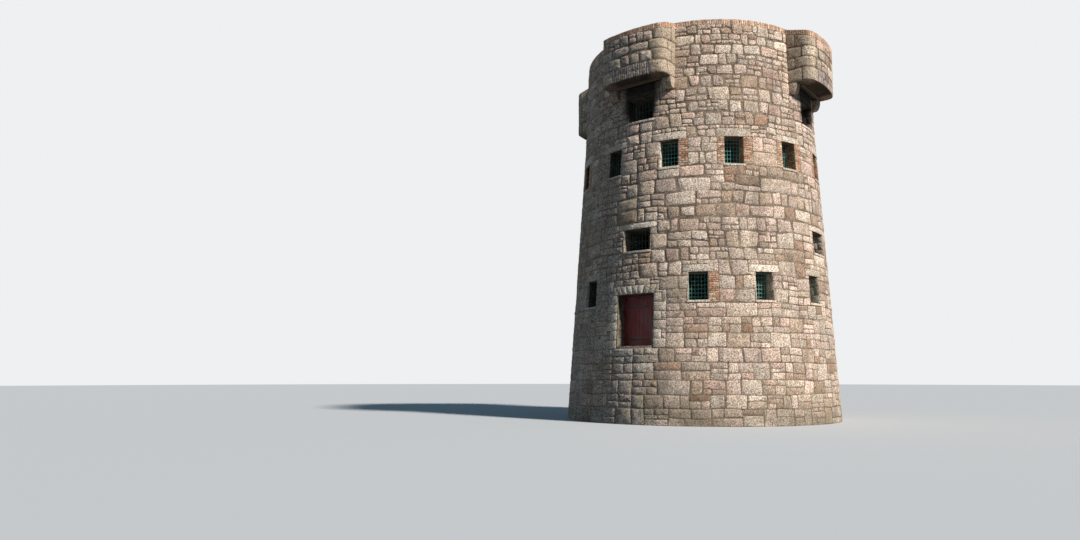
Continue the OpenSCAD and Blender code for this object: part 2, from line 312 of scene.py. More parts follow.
def masonry(cells, place, finish, depth=BED, drift=stay, folds=()):
    """A mesh of closed stones, one for each cell of a sheet, bent onto the tower.

    Each cell's face is extruded, rounded at its corners, set at its own height and lean, eased along
    its arris and crowned. folds are the places along x where every stone gets an edge to bend at.
    """
    mesh = bmesh.new()
    stone = mesh.faces.layers.int.new("stone")
    tone = mesh.faces.layers.float.new("tone")
    kind = mesh.faces.layers.float.new("kind")
    for number, cell in enumerate(cells):
        start_stone(mesh, cell, finish, depth, drift)[stone] = number
    mesh.normal_update()
    for cuts in (1, 2, 3):
        long_edges = [edge for edge in mesh.edges if cuts < edge.calc_length() / LONG_STONE <= cuts + 1]
        bmesh.ops.bisect_edges(mesh, edges=long_edges, cuts=cuts)
    extrude_up(mesh, depth)
    mesh.normal_update()
    round_corners(mesh, stone, finish.rounding, depth)
    mesh.normal_update()
    tops = [face for face in mesh.faces if face.normal.z > 0.9]
    stands = [(rng.uniform(*finish.proud), rng.gauss(0, finish.lean), rng.gauss(0, finish.lean))
              for cell in cells]
    for face in tops:
        height, lean_x, lean_y = stands[face[stone]]
        middle = face.calc_center_median()
        for vertex in face.verts:
            lean = lean_x * (vertex.co.x - middle.x) + lean_y * (vertex.co.y - middle.y)
            vertex.co.z += max(height + lean, finish.proud[0] / 2)
    bmesh.ops.inset_individual(mesh, faces=tops, thickness=finish.arris, depth=finish.arris * 0.55,
                               use_even_offset=True)
    centres = bmesh.ops.poke(mesh, faces=tops, offset=finish.crown, center_mode="MEAN")["verts"]
    if finish.rough:
        roughen(mesh, centres, finish.rough)
    for fold in folds:
        bmesh.ops.bisect_plane(mesh, geom=mesh.verts[:] + mesh.edges[:] + mesh.faces[:],
                               plane_co=(fold, 0, 0), plane_no=(1, 0, 0))
    tones = [(rng.random(), rng.random()) for cell in cells]
    for face in mesh.faces:
        face[tone], face[kind] = tones[face[stone]]
    return bend(mesh, place)


def finish_piece(mesh, name, material, sharp=40):
    """Makes a mesh a piece that rides on the tower. Edges sharper than that many degrees stay sharp."""
    data = bpy.data.meshes.new(name)
    mesh.to_mesh(data)
    mesh.free()
    data.shade_smooth()
    data.set_sharp_from_angle(angle=math.radians(sharp))
    data.materials.append(material)
    piece = bpy.data.objects.new(name, data)
    bpy.context.collection.objects.link(piece)
    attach(piece, "root")
    return piece


def joined(meshes):
    """One mesh that holds all of these."""
    whole = bmesh.new()
    for layer in ("tone", "kind"):
        whole.faces.layers.float.new(layer)
    for mesh in meshes:
        data = bpy.data.meshes.new("part")
        mesh.to_mesh(data)
        mesh.free()
        whole.from_mesh(data)
        bpy.data.meshes.remove(data)
    return whole


def split(cell, grain):
    """The stones of one rectangle of wall, which is halved until each is small and short enough."""
    x0, x1, y0, y1 = cell
    wide = x1 - x0
    high = y1 - y0
    largest = grain.small * (grain.large / grain.small) ** rng.random() ** GRAIN_SKEW
    if wide * high < largest and wide / high < grain.slim:
        return [cell]
    part = rng.uniform(0.34, 0.66)
    if high < 2 * LEAST_STONE or wide / high > rng.uniform(1.2, 2.5):
        if wide < 2 * LEAST_STONE:
            return [cell]
        middle = x0 + part * wide
        return split((x0, middle, y0, y1), grain) + split((middle, x1, y0, y1), grain)
    middle = y0 + part * high
    return split((x0, x1, y0, middle), grain) + split((x0, x1, middle, y1), grain)


def walling(cells, grain):
    """The stones of several rectangles, each first cut into lengths as a mason would build them."""
    stones = []
    for x0, x1, y0, y1 in cells:
        while x1 - x0 > LONGEST_BUILD:
            step = rng.uniform(*BUILD_LENGTHS)
            stones += split((x0, x0 + step, y0, y1), grain)
            x0 += step
        stones += split((x0, x1, y0, y1), grain)
    return stones


def rubble_between(x0, x1, levels):
    """The small stones of a plain stretch of wall between levels."""
    return walling([(x0, x1, low, high) for low, high in zip(levels, levels[1:])], SMALL_GRAIN)


def lifts(low, high, pitch):
    """The levels from low to high, about pitch apart and a little uneven."""
    count = max(1, round((high - low) / pitch))
    uneven = 0.12 * (high - low) / count
    inner = [low + (high - low) * i / count + rng.uniform(-uneven, uneven) for i in range(1, count)]
    return [low, *inner, high]


def uneven_cuts(x0, x1, count, uneven):
    """The ends of count pieces from x0 to x1. Inner ends move by up to that share of a piece."""
    return [x0 + (x1 - x0) * (i + rng.uniform(-uneven, uneven) * (0 < i < count)) / count
            for i in range(count + 1)]


def bricks_on_edge(x0, x1, rows, depth, pitch, start=0):
    """The bricks on edge of rows from x0 to x1, laid side by side from start, each row of that depth."""
    bricks = []
    for row in range(rows):
        cuts = uneven_cuts(x0, x1, round((x1 - x0) / pitch), 0.06)
        bricks += [(low, high, start + row * depth, start + (row + 1) * depth)
                   for low, high in zip(cuts, cuts[1:])]
    return bricks


def brick_courses(x0, x1, y0, y1):
    """The bricks of a strip of flat courses, with their joints broken."""
    rows = round((y1 - y0) / (BRICK_H + BRICK_JOINT))
    pitch = (y1 - y0) / rows
    bricks = []
    for row in range(rows):
        low = y0 + row * pitch
        start = x0
        length = (BRICK_L + BRICK_JOINT) / (1 + row % 2)
        while start < x1 - 0.01:
            end = start + length if x1 - start - length > 0.05 else x1
            bricks.append((start, end, low, low + pitch))
            start = end
            length = BRICK_L + BRICK_JOINT
    return bricks


def free_cells(low, high, marks, length):
    """The rectangles between two levels that no mark covers, on a sheet that closes on itself at length."""
    crossing = sorted((m for m in marks if m[2] < high - 0.001 and m[3] > low + 0.001), key=lambda m: m[2])
    if not crossing:
        return [(0, length, low, high)]
    cuts = sorted({x % length for mark in crossing for x in mark[:2]})
    cells = []
    for x0, x1 in zip(cuts, cuts[1:] + [cuts[0] + length]):
        middle = (x0 + x1) / 2
        levels = [low]
        for mark in crossing:
            if (middle - mark[0]) % length < mark[1] - mark[0]:
                levels += [max(mark[2], low), min(mark[3], high)]
        levels.append(high)
        for y0, y1 in zip(levels[::2], levels[1::2]):
            if y1 - y0 > 0.03 and x1 - x0 > 0.02:
                start = x0
                if cells and cells[-1][1] == x0 and cells[-1][2:] == (y0, y1):
                    start = cells.pop()[0]
                cells.append((start, x1, y0, y1))
    return cells


class Sheet:
    """The plan of one height of the round wall: its marks are the places that its stones leave free."""

    def __init__(self, low, high):
        self.low = low
        self.high = high
        self.radius = wall_r((low + high) / 2)
        self.length = 2 * math.pi * self.radius
        self.marks = []
        self.bricks = []
        self.dressed = []
        self.sills = []
        self.linings = []

    def place(self, x, y, out):
        """The point on the tower, kept inside the radius of its base."""
        return polar(x / self.radius, min(wall_r(y) + out, BASE_R), y)

    def mark(self, x0, x1, y0, y1):
        """Keeps the stones off a rectangle, whose ends come in any order, and gives it as a cell."""
        self.marks.append((min(x0, x1), max(x0, x1), y0, y1))
        return self.marks[-1]

    def clearance(self, x, y):
        """Distance from a point of the sheet to its nearest mark."""
        nearest = 1
        for x0, x1, y0, y1 in self.marks:
            aside = (x - (x0 + x1) / 2 + self.length / 2) % self.length - self.length / 2
            gap_x = max(abs(aside) - (x1 - x0) / 2, 0)
            gap_y = max(y0 - y, y - y1, 0)
            nearest = min(nearest, math.hypot(gap_x, gap_y))
        return nearest

    def drift(self, x, y):
        """The slow waver of the joints, which dies away at the marks and at the sheet's own edges."""
        rim = min(y - self.low, self.high - y)
        calm = min(1, self.clearance(x, y) / 0.3)
        azimuth = x / self.radius
        spot = Vector((math.sin(azimuth), math.cos(azimuth), 0)) * self.radius / 0.8
        spot.z = y / 0.7
        along = noise.noise(spot)
        spot.z += 40
        return 0.05 * calm * along, 0.06 * calm * min(1, rim / 0.2) * noise.noise(spot), calm

    def stones(self, levels, grain):
        """The stones between those levels."""
        stones = []
        for low, high in zip(levels, levels[1:]):
            stones += walling(free_cells(low, high, self.marks, self.length), grain)
        return stones

    def line_reveal(self, azimuth, width, low, high, side, brick):
        """Keeps the place and the cells of the lining of one side of an opening."""
        turn = turned(azimuth)
        middle_r = wall_r((low + high) / 2)
        face = math.sqrt(middle_r ** 2 - width * width / 4)

        def place(x, y, out):
            outward = -side * x
            lean = (wall_r(y) - middle_r) * outward / REVEAL_D
            return turn @ Vector((side * (width / 2 - out), REVEAL_D - face - outward - lean, y))

        cells = brick_courses(0, REVEAL_D, low, high) if brick else []
        rise = (high - low) / 3
        for i, share in enumerate(() if brick else (0.4, 0.62, 0.48)):
            joint = REVEAL_D * share
            course = (low + i * rise, low + (i + 1) * rise)
            cells += [(0, joint, *course), (joint, REVEAL_D, *course)]
        if side > 0:
            cells = [(-x1, -x0, y0, y1) for x0, x1, y0, y1 in cells]
        self.linings.append((cells, place, brick))

    def frame_opening(self, azimuth, width, low, height, lintel, jambs=(0, 0)):
        """Marks an opening, its lintel as (reach past each side, height), its sill, and its brick jambs."""
        high = low + height
        centre = math.radians(azimuth) * self.radius
        half = self.radius * math.asin(width / 2 / wall_r((low + high) / 2))
        self.mark(centre - half, centre + half, low, high)
        reach, rise = lintel
        self.dressed.append(self.mark(centre - half - reach, centre + half + reach, high, high + rise))
        self.sills.append(self.mark(centre - half - SILL_REACH, centre + half + SILL_REACH,
                                    low - SILL_H, low))
        for side, wide in zip((-1, 1), jambs):
            self.line_reveal(azimuth, width, low, high, side, wide > 0)
            if wide:
                strip = self.mark(centre + side * half, centre + side * (half + wide), low, high)
                self.bricks += brick_courses(*strip)


class Outline:
    """The plan of a machicolation's upright face. x runs from the middle of its front round both corners.

    facing is 1 for the outer face and -1 for the face that looks into the bay.
    """

    def __init__(self, azimuth, half_w, radius, corner, facing=1):
        self.turn = turned(azimuth)
        self.half_w = half_w
        self.radius = radius
        self.corner = corner
        self.facing = facing
        self.side = half_w - corner
        self.reach = math.sqrt((radius - corner) ** 2 - self.side ** 2)
        self.edge = math.atan2(self.side, self.reach)
        self.front = radius * self.edge
        self.bend = self.front + corner * (math.pi / 2 - self.edge)
        self.folds = [side * (self.front + (self.bend - self.front) * i / 5)
                      for side in (-1, 1) for i in range(6)]

    def end(self, radius):
        """Where along it the cheek meets a circle about the tower's axis."""
        return self.bend + self.reach - math.sqrt(radius ** 2 - self.half_w ** 2)

    def point(self, x, out):
        """The plan point at x along the face and at a distance out from it, in the frame of the face."""
        along = abs(x)
        out *= self.facing
        if along < self.front:
            spot = polar(along / self.radius, self.radius + out, 0)
        elif along < self.bend:
            spot = polar(self.edge + (along - self.front) / self.corner, self.corner + out, 0)
            spot += Vector((self.side, -self.reach, 0))
        else:
            spot = Vector((self.half_w + out, along - self.bend - self.reach, 0))
        spot.x = math.copysign(spot.x, x * self.facing)
        return spot

    def place(self, x, y, out):
        """The point on the machicolation. The sheet's top, at its front's height, follows the sloping rim."""
        spot = self.turn @ self.point(x, out)
        rise = max(0, min(MACH_SLOPE * (MACH_R - spot.length), PARAPET_TOP - MACH_TOP))
        spot.z = y + rise * max(0, (y - MACH_TOP) / SLOPED + 1)
        return spot


class Coping:
    """The top of a machicolation: x follows its outer edge from the middle, y runs inwards, out is up."""

    depth = 0.42

    def __init__(self, azimuth):
        self.outer = Outline(azimuth, MACH_HALF_W + COPING_OVER, MACH_R + COPING_OVER,
                             MACH_CORNER_R + COPING_OVER)
        self.inner = Outline(azimuth, BAY_HALF_W - COPING_OVER, MACH_R - MACH_FRONT_T - COPING_OVER,
                             MACH_INNER_CORNER_R)
        root = wall_r(PARAPET_TOP) + COPING_OVER
        self.stations = [(0, 0), (self.outer.front, self.inner.front), (self.outer.bend, self.inner.bend),
                         (self.outer.end(root), self.inner.end(root))]
        self.length = self.stations[-1][0]

    def place(self, x, y, out):
        """The point on the sloping top, part of the way from the outer edge to the inner one."""
        along = min(abs(x), self.length)
        for (low, low_in), (high, high_in) in zip(self.stations, self.stations[1:]):
            if along <= high:
                matched = low_in + (along - low) * (high_in - low_in) / (high - low)
                break
        first = self.outer.point(math.copysign(along, x), 0)
        second = self.inner.point(math.copysign(matched, x), 0)
        spot = self.outer.turn @ first.lerp(second, y / self.depth)
        spot.z = MACH_RIM_Z + MACH_SLOPE * (MACH_R - spot.length) + out
        return spot


class Ring:
    """The parapet between two bays, and its top in rows about the tower's axis, each of its own radius."""

    rows = 4

    def __init__(self, azimuth):
        self.start = math.radians(azimuth)
        self.outer = wall_r(PARAPET_TOP) + COPING_OVER
        self.depth = self.outer - PARAPET_IN_R + COPING_OVER
        self.row_depth = self.depth / self.rows
        self.inner_gap = self.gap(PARAPET_IN_R) + 0.01
        self.inner_length = (math.pi / 2 - 2 * self.inner_gap) * PARAPET_IN_R

    def gap(self, radius):
        """The azimuth that half a bay takes up at a radius."""
        return math.asin((BAY_HALF_W + 0.004) / radius)

    def length(self, row):
        """The length of a row between two bays."""
        radius = self.outer - (row + 0.5) * self.row_depth
        return radius * (math.pi / 2 - 2 * self.gap(radius))

    def at(self, share, y, out):
        """The point at a share of the way from one bay to the next. The top falls to its outer edge."""
        radius = self.outer - y
        gap = self.gap(radius)
        azimuth = self.start + gap + share * (math.pi / 2 - 2 * gap)
        return polar(azimuth, radius, RIM_Z + COPING_FALL * y / self.depth + out)

    def place(self, x, y, out):
        """The point on the coping."""
        return self.at(x / self.length(y // self.row_depth), y, out)

    def inside(self, x, y, out):
        """The point on the parapet's inner face, with x from the far end."""
        azimuth = self.start + self.inner_gap + (self.inner_length - x) / PARAPET_IN_R
        return polar(azimuth, PARAPET_IN_R - out, y)


def level(z, azimuth=0):
    """The place function of a flat sheet at a height, turned to an azimuth."""
    turn = turned(azimuth)
    return lambda x, y, out: turn @ Vector((x, y, z + out))


def coping_bricks(cells, place):
    """A coping's bricks on edge, sunk a little below its outline."""
    return masonry(cells, lambda x, y, out: place(x, y, out - COPING_SUNK), BRICKWORK, COPING_H - COPING_SUNK)


def coping_core(x0, x1, depth, steps, place):
    """The mortar core of a coping of that depth: a closed slab with steps along x to bend at."""
    mesh = bmesh.new()
    bmesh.ops.create_grid(mesh, x_segments=steps, y_segments=2, size=1)
    bmesh.ops.scale(mesh, verts=mesh.verts, vec=((x1 - x0) / 2, (depth - 2 * CORE_IN) / 2, 1))
    bmesh.ops.translate(mesh, verts=mesh.verts, vec=((x0 + x1) / 2, depth / 2, -COPING_H))
    extrude_up(mesh, COPING_H - COPING_SUNK - CORE_IN)
    return bend(mesh, place)


def eased_corbels(name, azimuth):
    """A merged copy of a pair of corbels with sharp edges rounded, and its own tone for each of the two."""
    mesh = bmesh.new()
    mesh.from_mesh(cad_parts[name].data)
    tone = mesh.faces.layers.float.new("tone")
    kind = mesh.faces.layers.float.new("kind")
    bmesh.ops.remove_doubles(mesh, verts=mesh.verts, dist=0.0002)
    bmesh.ops.dissolve_limit(mesh, angle_limit=math.radians(2), verts=mesh.verts, edges=mesh.edges)
    across = polar(math.radians(azimuth + 90), 1, 0)
    for right in (False, True):
        tones = rng.random(), rng.random()
        for face in mesh.faces:
            if (face.calc_center_median().dot(across) > 0) == right:
                face[tone], face[kind] = tones
    sharp = [edge for edge in mesh.edges if edge.calc_face_angle(0) > math.radians(35)]
    bmesh.ops.bevel(mesh, geom=sharp, offset=0.016, offset_type="OFFSET", affect="EDGES", segments=2,
                    profile=0.5, clamp_overlap=True, material=-1)
    return mesh


def srgb(red, green, blue):
    """A linear colour from 8-bit display values."""
    def channel(value):
        value /= 255
        return value / 12.92 if value <= 0.04045 else ((value + 0.055) / 1.055) ** 2.4
    return (channel(red), channel(green), channel(blue), 1)


def palette(*stops):
    """Stops for a ramp from (place, red, green, blue), with 8-bit display values."""
    return [(place, *srgb(*colour)[:3]) for place, *colour in stops]


class Wiring:
    """Adds nodes to a material's or a group's tree and links them."""

    def __init__(self, tree):
        self.tree = tree
        tree.nodes.clear()

    def feed(self, sockets, values):
        """Links or sets each of the sockets that values names."""
        for key, value in values.items():
            if isinstance(value, bpy.types.NodeSocket):
                self.tree.links.new(value, sockets[key])
            else:
                sockets[key].default_value = value

    def add(self, kind, inputs=None, **settings):
        """A node with its settings and its inputs."""
        node = self.tree.nodes.new(kind)
        for name, value in settings.items():
            setattr(node, name, value)
        self.feed(node.inputs, inputs or {})
        return node

    def use(self, group, **inputs):
        """A group's outputs by name."""
        return self.add("ShaderNodeGroup", inputs, node_tree=group).outputs

    def position(self):
        """Object coordinates, which are places on the tower."""
        return self.add("ShaderNodeTexCoord").outputs["Object"]

    def math(self, operation, *values, clamp=False):
        """The result of a Math node."""
        return self.add("ShaderNodeMath", dict(enumerate(values)), operation=operation,
                        use_clamp=clamp).outputs[0]

    def plus(self, first, second):
        """A sum."""
        return self.math("ADD", first, second)

    def times(self, first, second):
        """A product."""
        return self.math("MULTIPLY", first, second)

    def vector(self, operation, *values, output="Vector"):
        """The result of a Vector Math node."""
        return self.add("ShaderNodeVectorMath", dict(enumerate(values)), operation=operation).outputs[output]

    def combine(self, *values):
        """The vector of up to three values."""
        return self.add("ShaderNodeCombineXYZ", dict(enumerate(values))).outputs[0]

    def noise(self, position, scale, detail=4, roughness=0.55, distortion=0):
        """Smooth noise about 0.5."""
        return self.add("ShaderNodeTexNoise", {"Vector": position, "Scale": scale, "Detail": detail,
                                               "Roughness": roughness, "Distortion": distortion}).outputs[0]

    def blocks(self, position, scale, randomness):
        """For a pattern of uneven blocks, the distance to their joints and each block's own value."""
        inputs = {"Vector": position, "Scale": scale, "Randomness": randomness}
        joints = self.add("ShaderNodeTexVoronoi", inputs, feature="DISTANCE_TO_EDGE").outputs["Distance"]
        colour = self.add("ShaderNodeTexVoronoi", inputs).outputs["Color"]
        return joints, self.add("ShaderNodeSeparateColor", {0: colour}).outputs[0]

    def between(self, value, low, high, start=0, end=1, interpolation="SMOOTHSTEP", clamp=True):
        """A value taken from low..high to start..end, smoothly and held past them if nothing else is said."""
        return self.add("ShaderNodeMapRange", {"Value": value, "From Min": low, "From Max": high,
                                               "To Min": start, "To Max": end},
                        interpolation_type=interpolation, clamp=clamp).outputs[0]

    def mix(self, share, first, second, blend="MIX"):
        """Two colours blended."""
        return self.add("ShaderNodeMix", {"Factor": share, 6: first, 7: second}, data_type="RGBA",
                        blend_type=blend).outputs[2]

    def ramp(self, value, *stops):
        """The colour that a value has on a ramp of (place, grey) or (place, red, green, blue) stops."""
        node = self.add("ShaderNodeValToRGB", {0: value})
        for place, *colour in stops[2:]:
            node.color_ramp.elements.new(place)
        for element, (place, *colour) in zip(node.color_ramp.elements, stops):
            element.position = place
            element.color = (*(colour * 3)[:3], 1)
        return node.outputs[0]

    def shade(self, colour, value, *stops, share=1):
        """A colour multiplied by the one that a value has on a ramp."""
        return self.mix(share, colour, self.ramp(value, *stops), "MULTIPLY")


class Surface(Wiring):
    """The wiring of a new material with one shader."""

    def __init__(self, name):
        self.material = bpy.data.materials.new(name)
        self.material.use_nodes = True
        super().__init__(self.material.node_tree)
        self.shader = self.add("ShaderNodeBsdfPrincipled")
        self.add("ShaderNodeOutputMaterial", {0: self.shader.outputs[0]})

    def finished(self, colour, roughness, specular, height=None, distance=0):
        """The material, with a relief where a height in 0 to 1, worth that distance, is given."""
        sockets = {"Base Color": colour, "Roughness": roughness, "Specular IOR Level": specular}
        if height is not None:
            bump = self.add("ShaderNodeBump", {"Height": height, "Distance": distance, "Strength": 1})
            sockets["Normal"] = bump.outputs[0]
        self.feed(self.shader.inputs, sockets)
        return self.material


def new_group(name, outputs, **inputs):
    """A node group that takes a Position and other inputs: its wiring, its inputs, and its output node's."""
    group = bpy.data.node_groups.new(name, "ShaderNodeTree")
    kinds = {"Position": "NodeSocketVector", "Color": "NodeSocketColor"}
    wiring = Wiring(group)
    group.interface.new_socket("Position", in_out="INPUT", socket_type=kinds["Position"])
    for socket, start in inputs.items():
        made = group.interface.new_socket(socket, in_out="INPUT",
                                          socket_type=kinds.get(socket, "NodeSocketFloat"))
        made.default_value = start
    for socket in outputs:
        group.interface.new_socket(socket, in_out="OUTPUT", socket_type=kinds.get(socket, "NodeSocketFloat"))
    return wiring, wiring.add("NodeGroupInput").outputs, wiring.add("NodeGroupOutput").inputs


def tower_group():
    """Where a point lies on the tower: its azimuth in degrees, height, and depth behind the wall's face."""
    wiring, given, result = new_group("Place on tower", ("Azimuth", "Height", "Depth"))
    x, y, z = wiring.add("ShaderNodeSeparateXYZ", {0: given["Position"]}).outputs
    angle = wiring.math("ARCTAN2", x, wiring.times(y, -1))
    radius = wiring.vector("LENGTH", wiring.combine(x, y), output="Value")
    waist_z, waist_r = min(PROFILE, key=lambda level: abs(level[0] - WAIST_Z))
    rim_z, rim_r = PROFILE[-1]
    below = wiring.between(z, 0, waist_z, BASE_R, waist_r, "LINEAR", False)
    above = wiring.between(z, waist_z, rim_z, waist_r, rim_r, "LINEAR", False)
    depth = wiring.math("SUBTRACT", wiring.math("MAXIMUM", below, above), radius)
    wiring.feed(result, {"Azimuth": wiring.math("DEGREES", angle), "Height": z, "Depth": depth})
    return wiring.tree


def grain_group():
    """The crystals and pits of a stone: a shade about 0.5, dark crystals from 0 to 1, and a height."""
    wiring, given, result = new_group("Granite grain", ("Shade", "Crystals", "Height"), Size=0.01)
    scale = wiring.math("DIVIDE", 1, given["Size"])
    fine = wiring.noise(given["Position"], scale, 3, 0.6)
    coarse = wiring.noise(given["Position"], wiring.times(scale, 0.28), 5, 0.65)
    spots = wiring.noise(given["Position"], wiring.times(scale, 0.8), 2, 0.5)
    shade = wiring.plus(wiring.times(fine, 0.5), wiring.times(coarse, 0.5))
    height = wiring.math("SUBTRACT", shade, wiring.between(coarse, 0.6, 0.72, 0, 0.25))
    wiring.feed(result, {"Shade": shade, "Crystals": wiring.between(spots, 0.56, 0.66), "Height": height})
    return wiring.tree


def lichen_group():
    """Crusts of pale, dark and orange lichen over a colour, denser where Amount is higher."""
    wiring, given, result = new_group("Lichen", ("Color", "Cover"), Color=(1, 1, 1, 1), Amount=0.5)
    spread = wiring.noise(given["Position"], 0.7, 3, 0.6)
    amount = wiring.plus(given["Amount"], wiring.between(spread, 0.3, 0.7, -0.2, 0.2))
    edge = wiring.math("SUBTRACT", 0.72, wiring.times(amount, 0.28))
    far_edge = wiring.plus(edge, 0.05)
    crusts = []
    for scale, detail, distortion in ((15, 5, 0.5), (20, 4, 0.3), (6, 6, 0.4), (9, 4, 0)):
        spots = wiring.noise(given["Position"], scale, detail, 0.7, distortion)
        crusts.append(wiring.between(spots, edge, far_edge))
    pale, dark, gold, dim = crusts
    colour = wiring.mix(wiring.times(dim, 0.3), given["Color"], srgb(128, 118, 104))
    colour = wiring.mix(wiring.times(dark, 0.7), colour, srgb(70, 64, 57))
    colour = wiring.mix(wiring.times(pale, 0.75), colour, srgb(233, 227, 215))
    orange = wiring.times(gold, wiring.between(spread, 0.55, 0.64, 0, 0.35))
    colour = wiring.mix(orange, colour, srgb(196, 150, 72))
    wiring.feed(result, {"Color": colour, "Cover": wiring.math("SUBTRACT", pale, wiring.times(dark, 0.6))})
    return wiring.tree


def shady_side(wiring, azimuth, low, high, most=1):
    """A value that rises from 0 to most round the side whose middle is at -60 degrees."""
    towards = wiring.math("COSINE", wiring.math("RADIANS", wiring.plus(azimuth, 60)))
    return wiring.between(towards, low, high, 0, most)


def patch(wiring, aside, edge, height, levels):
    """A value of 1 where aside is low and height is in the middle of four rising levels, fading to 0."""
    bottom, full, fading, top = levels
    band = wiring.times(wiring.between(height, bottom, full), wiring.between(height, fading, top, 1, 0))
    return wiring.times(wiring.between(aside, *edge, 1, 0), band)


def weather_and_shade_group():
    """Rain stains, painted shade under the machicolations and on the shady side's linings, rust and damp,
    over a colour.
    """
    wiring, given, result = new_group("Weather and painted shade", ("Color",), Color=(1, 1, 1, 1), Amount=1)
    position = given["Position"]
    azimuth, height, depth = wiring.use(TOWER, Position=position)
    runs = wiring.noise(wiring.vector("MULTIPLY", position, (2.6, 2.6, 0.22)), 1, 4, 0.6)
    soil = wiring.times(wiring.times(wiring.between(runs, 0.52, 0.72), 0.34), given["Amount"])
    colour = wiring.mix(soil, given["Color"], srgb(98, 88, 77))
    drifts = wiring.noise(position, 0.55, 5, 0.6)
    drifted = wiring.times(wiring.between(drifts, 0.5, 0.74, 0, 0.35), given["Amount"])
    colour = wiring.mix(drifted, colour, srgb(182, 154, 122))
    smears = wiring.noise(position, 3.5, 5, 0.7)
    smeared = wiring.times(wiring.between(smears, 0.52, 0.66, 0, 0.55), given["Amount"])
    colour = wiring.mix(smeared, colour, srgb(178, 151, 124))
    # One dark stain between two windows, whose edge wanders
    aside = wiring.math("ABSOLUTE", wiring.math("SUBTRACT", azimuth, 52))
    aside = wiring.plus(aside, wiring.between(smears, 0.3, 0.7, -2.5, 2.5))
    stain = patch(wiring, aside, (1.0, 4.5), height, (5.3, 6.4, 8.2, 8.9))
    colour = wiring.mix(wiring.times(stain, 0.42), colour, srgb(92, 78, 66))
    # Painted shade below the four machicolations: a near-black colour on the wall where their shadow falls
    painted_machicolation_shade = patch(wiring, wiring.math("PINGPONG", azimuth, 45), (6.6, 11), height,
                    (WAIST_Z, WAIST_Z + 0.5, MACH_FOOT_Z - 0.02, MACH_FOOT_Z + 0.04))
    colour = wiring.mix(wiring.times(painted_machicolation_shade, 0.93), colour, srgb(30, 27, 25))
    # Rusty runs over the doorway
    rusty = patch(wiring, wiring.math("ABSOLUTE", azimuth), (7, 11), height, (4.7, 5.3, 5.8, 6.0))
    rusty = wiring.times(rusty, wiring.between(wiring.noise(position, 4, 5, 0.7), 0.5, 0.6))
    colour = wiring.mix(wiring.times(rusty, 0.7), colour, srgb(158, 116, 64))
    # Painted shade on the linings of the shady side's openings, and damp at the foot
    painted_shade = wiring.times(wiring.between(depth, 0.02, 0.08), shady_side(wiring, azimuth, 0.5, 0.65))
    below = wiring.between(height, PLATFORM_Z - 0.2, PLATFORM_Z - 0.1, 0.85, 0)
    colour = wiring.mix(wiring.times(painted_shade, below), colour, srgb(20, 22, 24))
    foot = wiring.between(height, 0.05, 1.3, 0.5, 0)
    damp = wiring.times(foot, wiring.between(drifts, 0.35, 0.65))
    wiring.feed(result, {"Color": wiring.mix(damp, colour, srgb(92, 94, 70))})
    return wiring.tree


TOWER = tower_group()
GRAIN = grain_group()
LICHEN = lichen_group()
WEATHER_AND_SHADE = weather_and_shade_group()


def rough_stone(wiring, position, grain):
    """The shade that lumps and crystals give a rough stone face, partly painted shade and highlight of its
    relief, with its height and its dark crystals.
    """
    stone = wiring.use(GRAIN, Position=position, Size=grain)
    lumps = wiring.noise(position, 22, 5, 0.8)
    clouds = wiring.noise(position, 4, 3, 0.6)
    # The lumps' colour follows their height: darker in the hollows as painted shade, paler on the crests as
    # painted highlight, over the stone's own mottling
    shade = wiring.ramp(lumps, (0.39, 0.2, 0.18, 0.16), (0.5, 1.06, 1.06, 1.05), (0.61, 1.68, 1.68, 1.66))
    shade = wiring.shade(shade, clouds, (0.3, 0.82, 0.8, 0.78), (0.7, 1.13))
    shade = wiring.shade(shade, stone["Shade"], (0.32, 0.62, 0.60, 0.58), (0.68, 1.32, 1.31, 1.29))
    height = wiring.plus(wiring.times(lumps, 0.8), wiring.times(stone["Height"], 0.2))
    return shade, height, stone["Crystals"]


def weathered_and_shaded(wiring, position, colour, lichen, weather=1):
    """A colour under lichen, weather and painted shade, and the lichen's cover, densest low down on the shady
    side.
    """
    facing = wiring.vector("DOT_PRODUCT", wiring.vector("NORMALIZE", position), (-0.87, -0.5, 0),
                           output="Value")
    amount = wiring.plus(lichen, wiring.between(facing, -0.35, 0.7, -0.08, 0.5))
    crust = wiring.use(LICHEN, Position=position, Color=colour, Amount=amount)
    stained_and_shaded = wiring.use(WEATHER_AND_SHADE, Position=position, Color=crust["Color"], Amount=weather)
    return stained_and_shaded["Color"], crust["Cover"]


def stone_material(name, colours, grain, lichen, weather=1, depth=0.02):
    """Stones whose colour and tone come from their faces. grain is the crystals' size, lichen its amount."""
    wiring = Surface(name)
    position = wiring.position()
    kind = wiring.add("ShaderNodeAttribute", attribute_name="kind").outputs["Fac"]
    tone = wiring.add("ShaderNodeAttribute", attribute_name="tone").outputs["Fac"]
    shifted = wiring.vector("MULTIPLY_ADD", wiring.combine(tone, kind, tone), (7, 5, 3), position)
    shade, height, crystals = rough_stone(wiring, shifted, grain)
    colour = wiring.shade(wiring.ramp(kind, *colours), tone, (0, 0.88), (1, 1.4))
    colour = wiring.mix(1, colour, shade, "MULTIPLY")
    colour = wiring.mix(wiring.times(crystals, 0.5), colour, srgb(98, 78, 64))
    colour, cover = weathered_and_shaded(wiring, position, colour, lichen, weather)
    return wiring.finished(colour, wiring.between(height, 0.3, 0.7, 0.93, 0.8), 0.25,
                           wiring.plus(height, wiring.times(cover, 0.12)), depth)


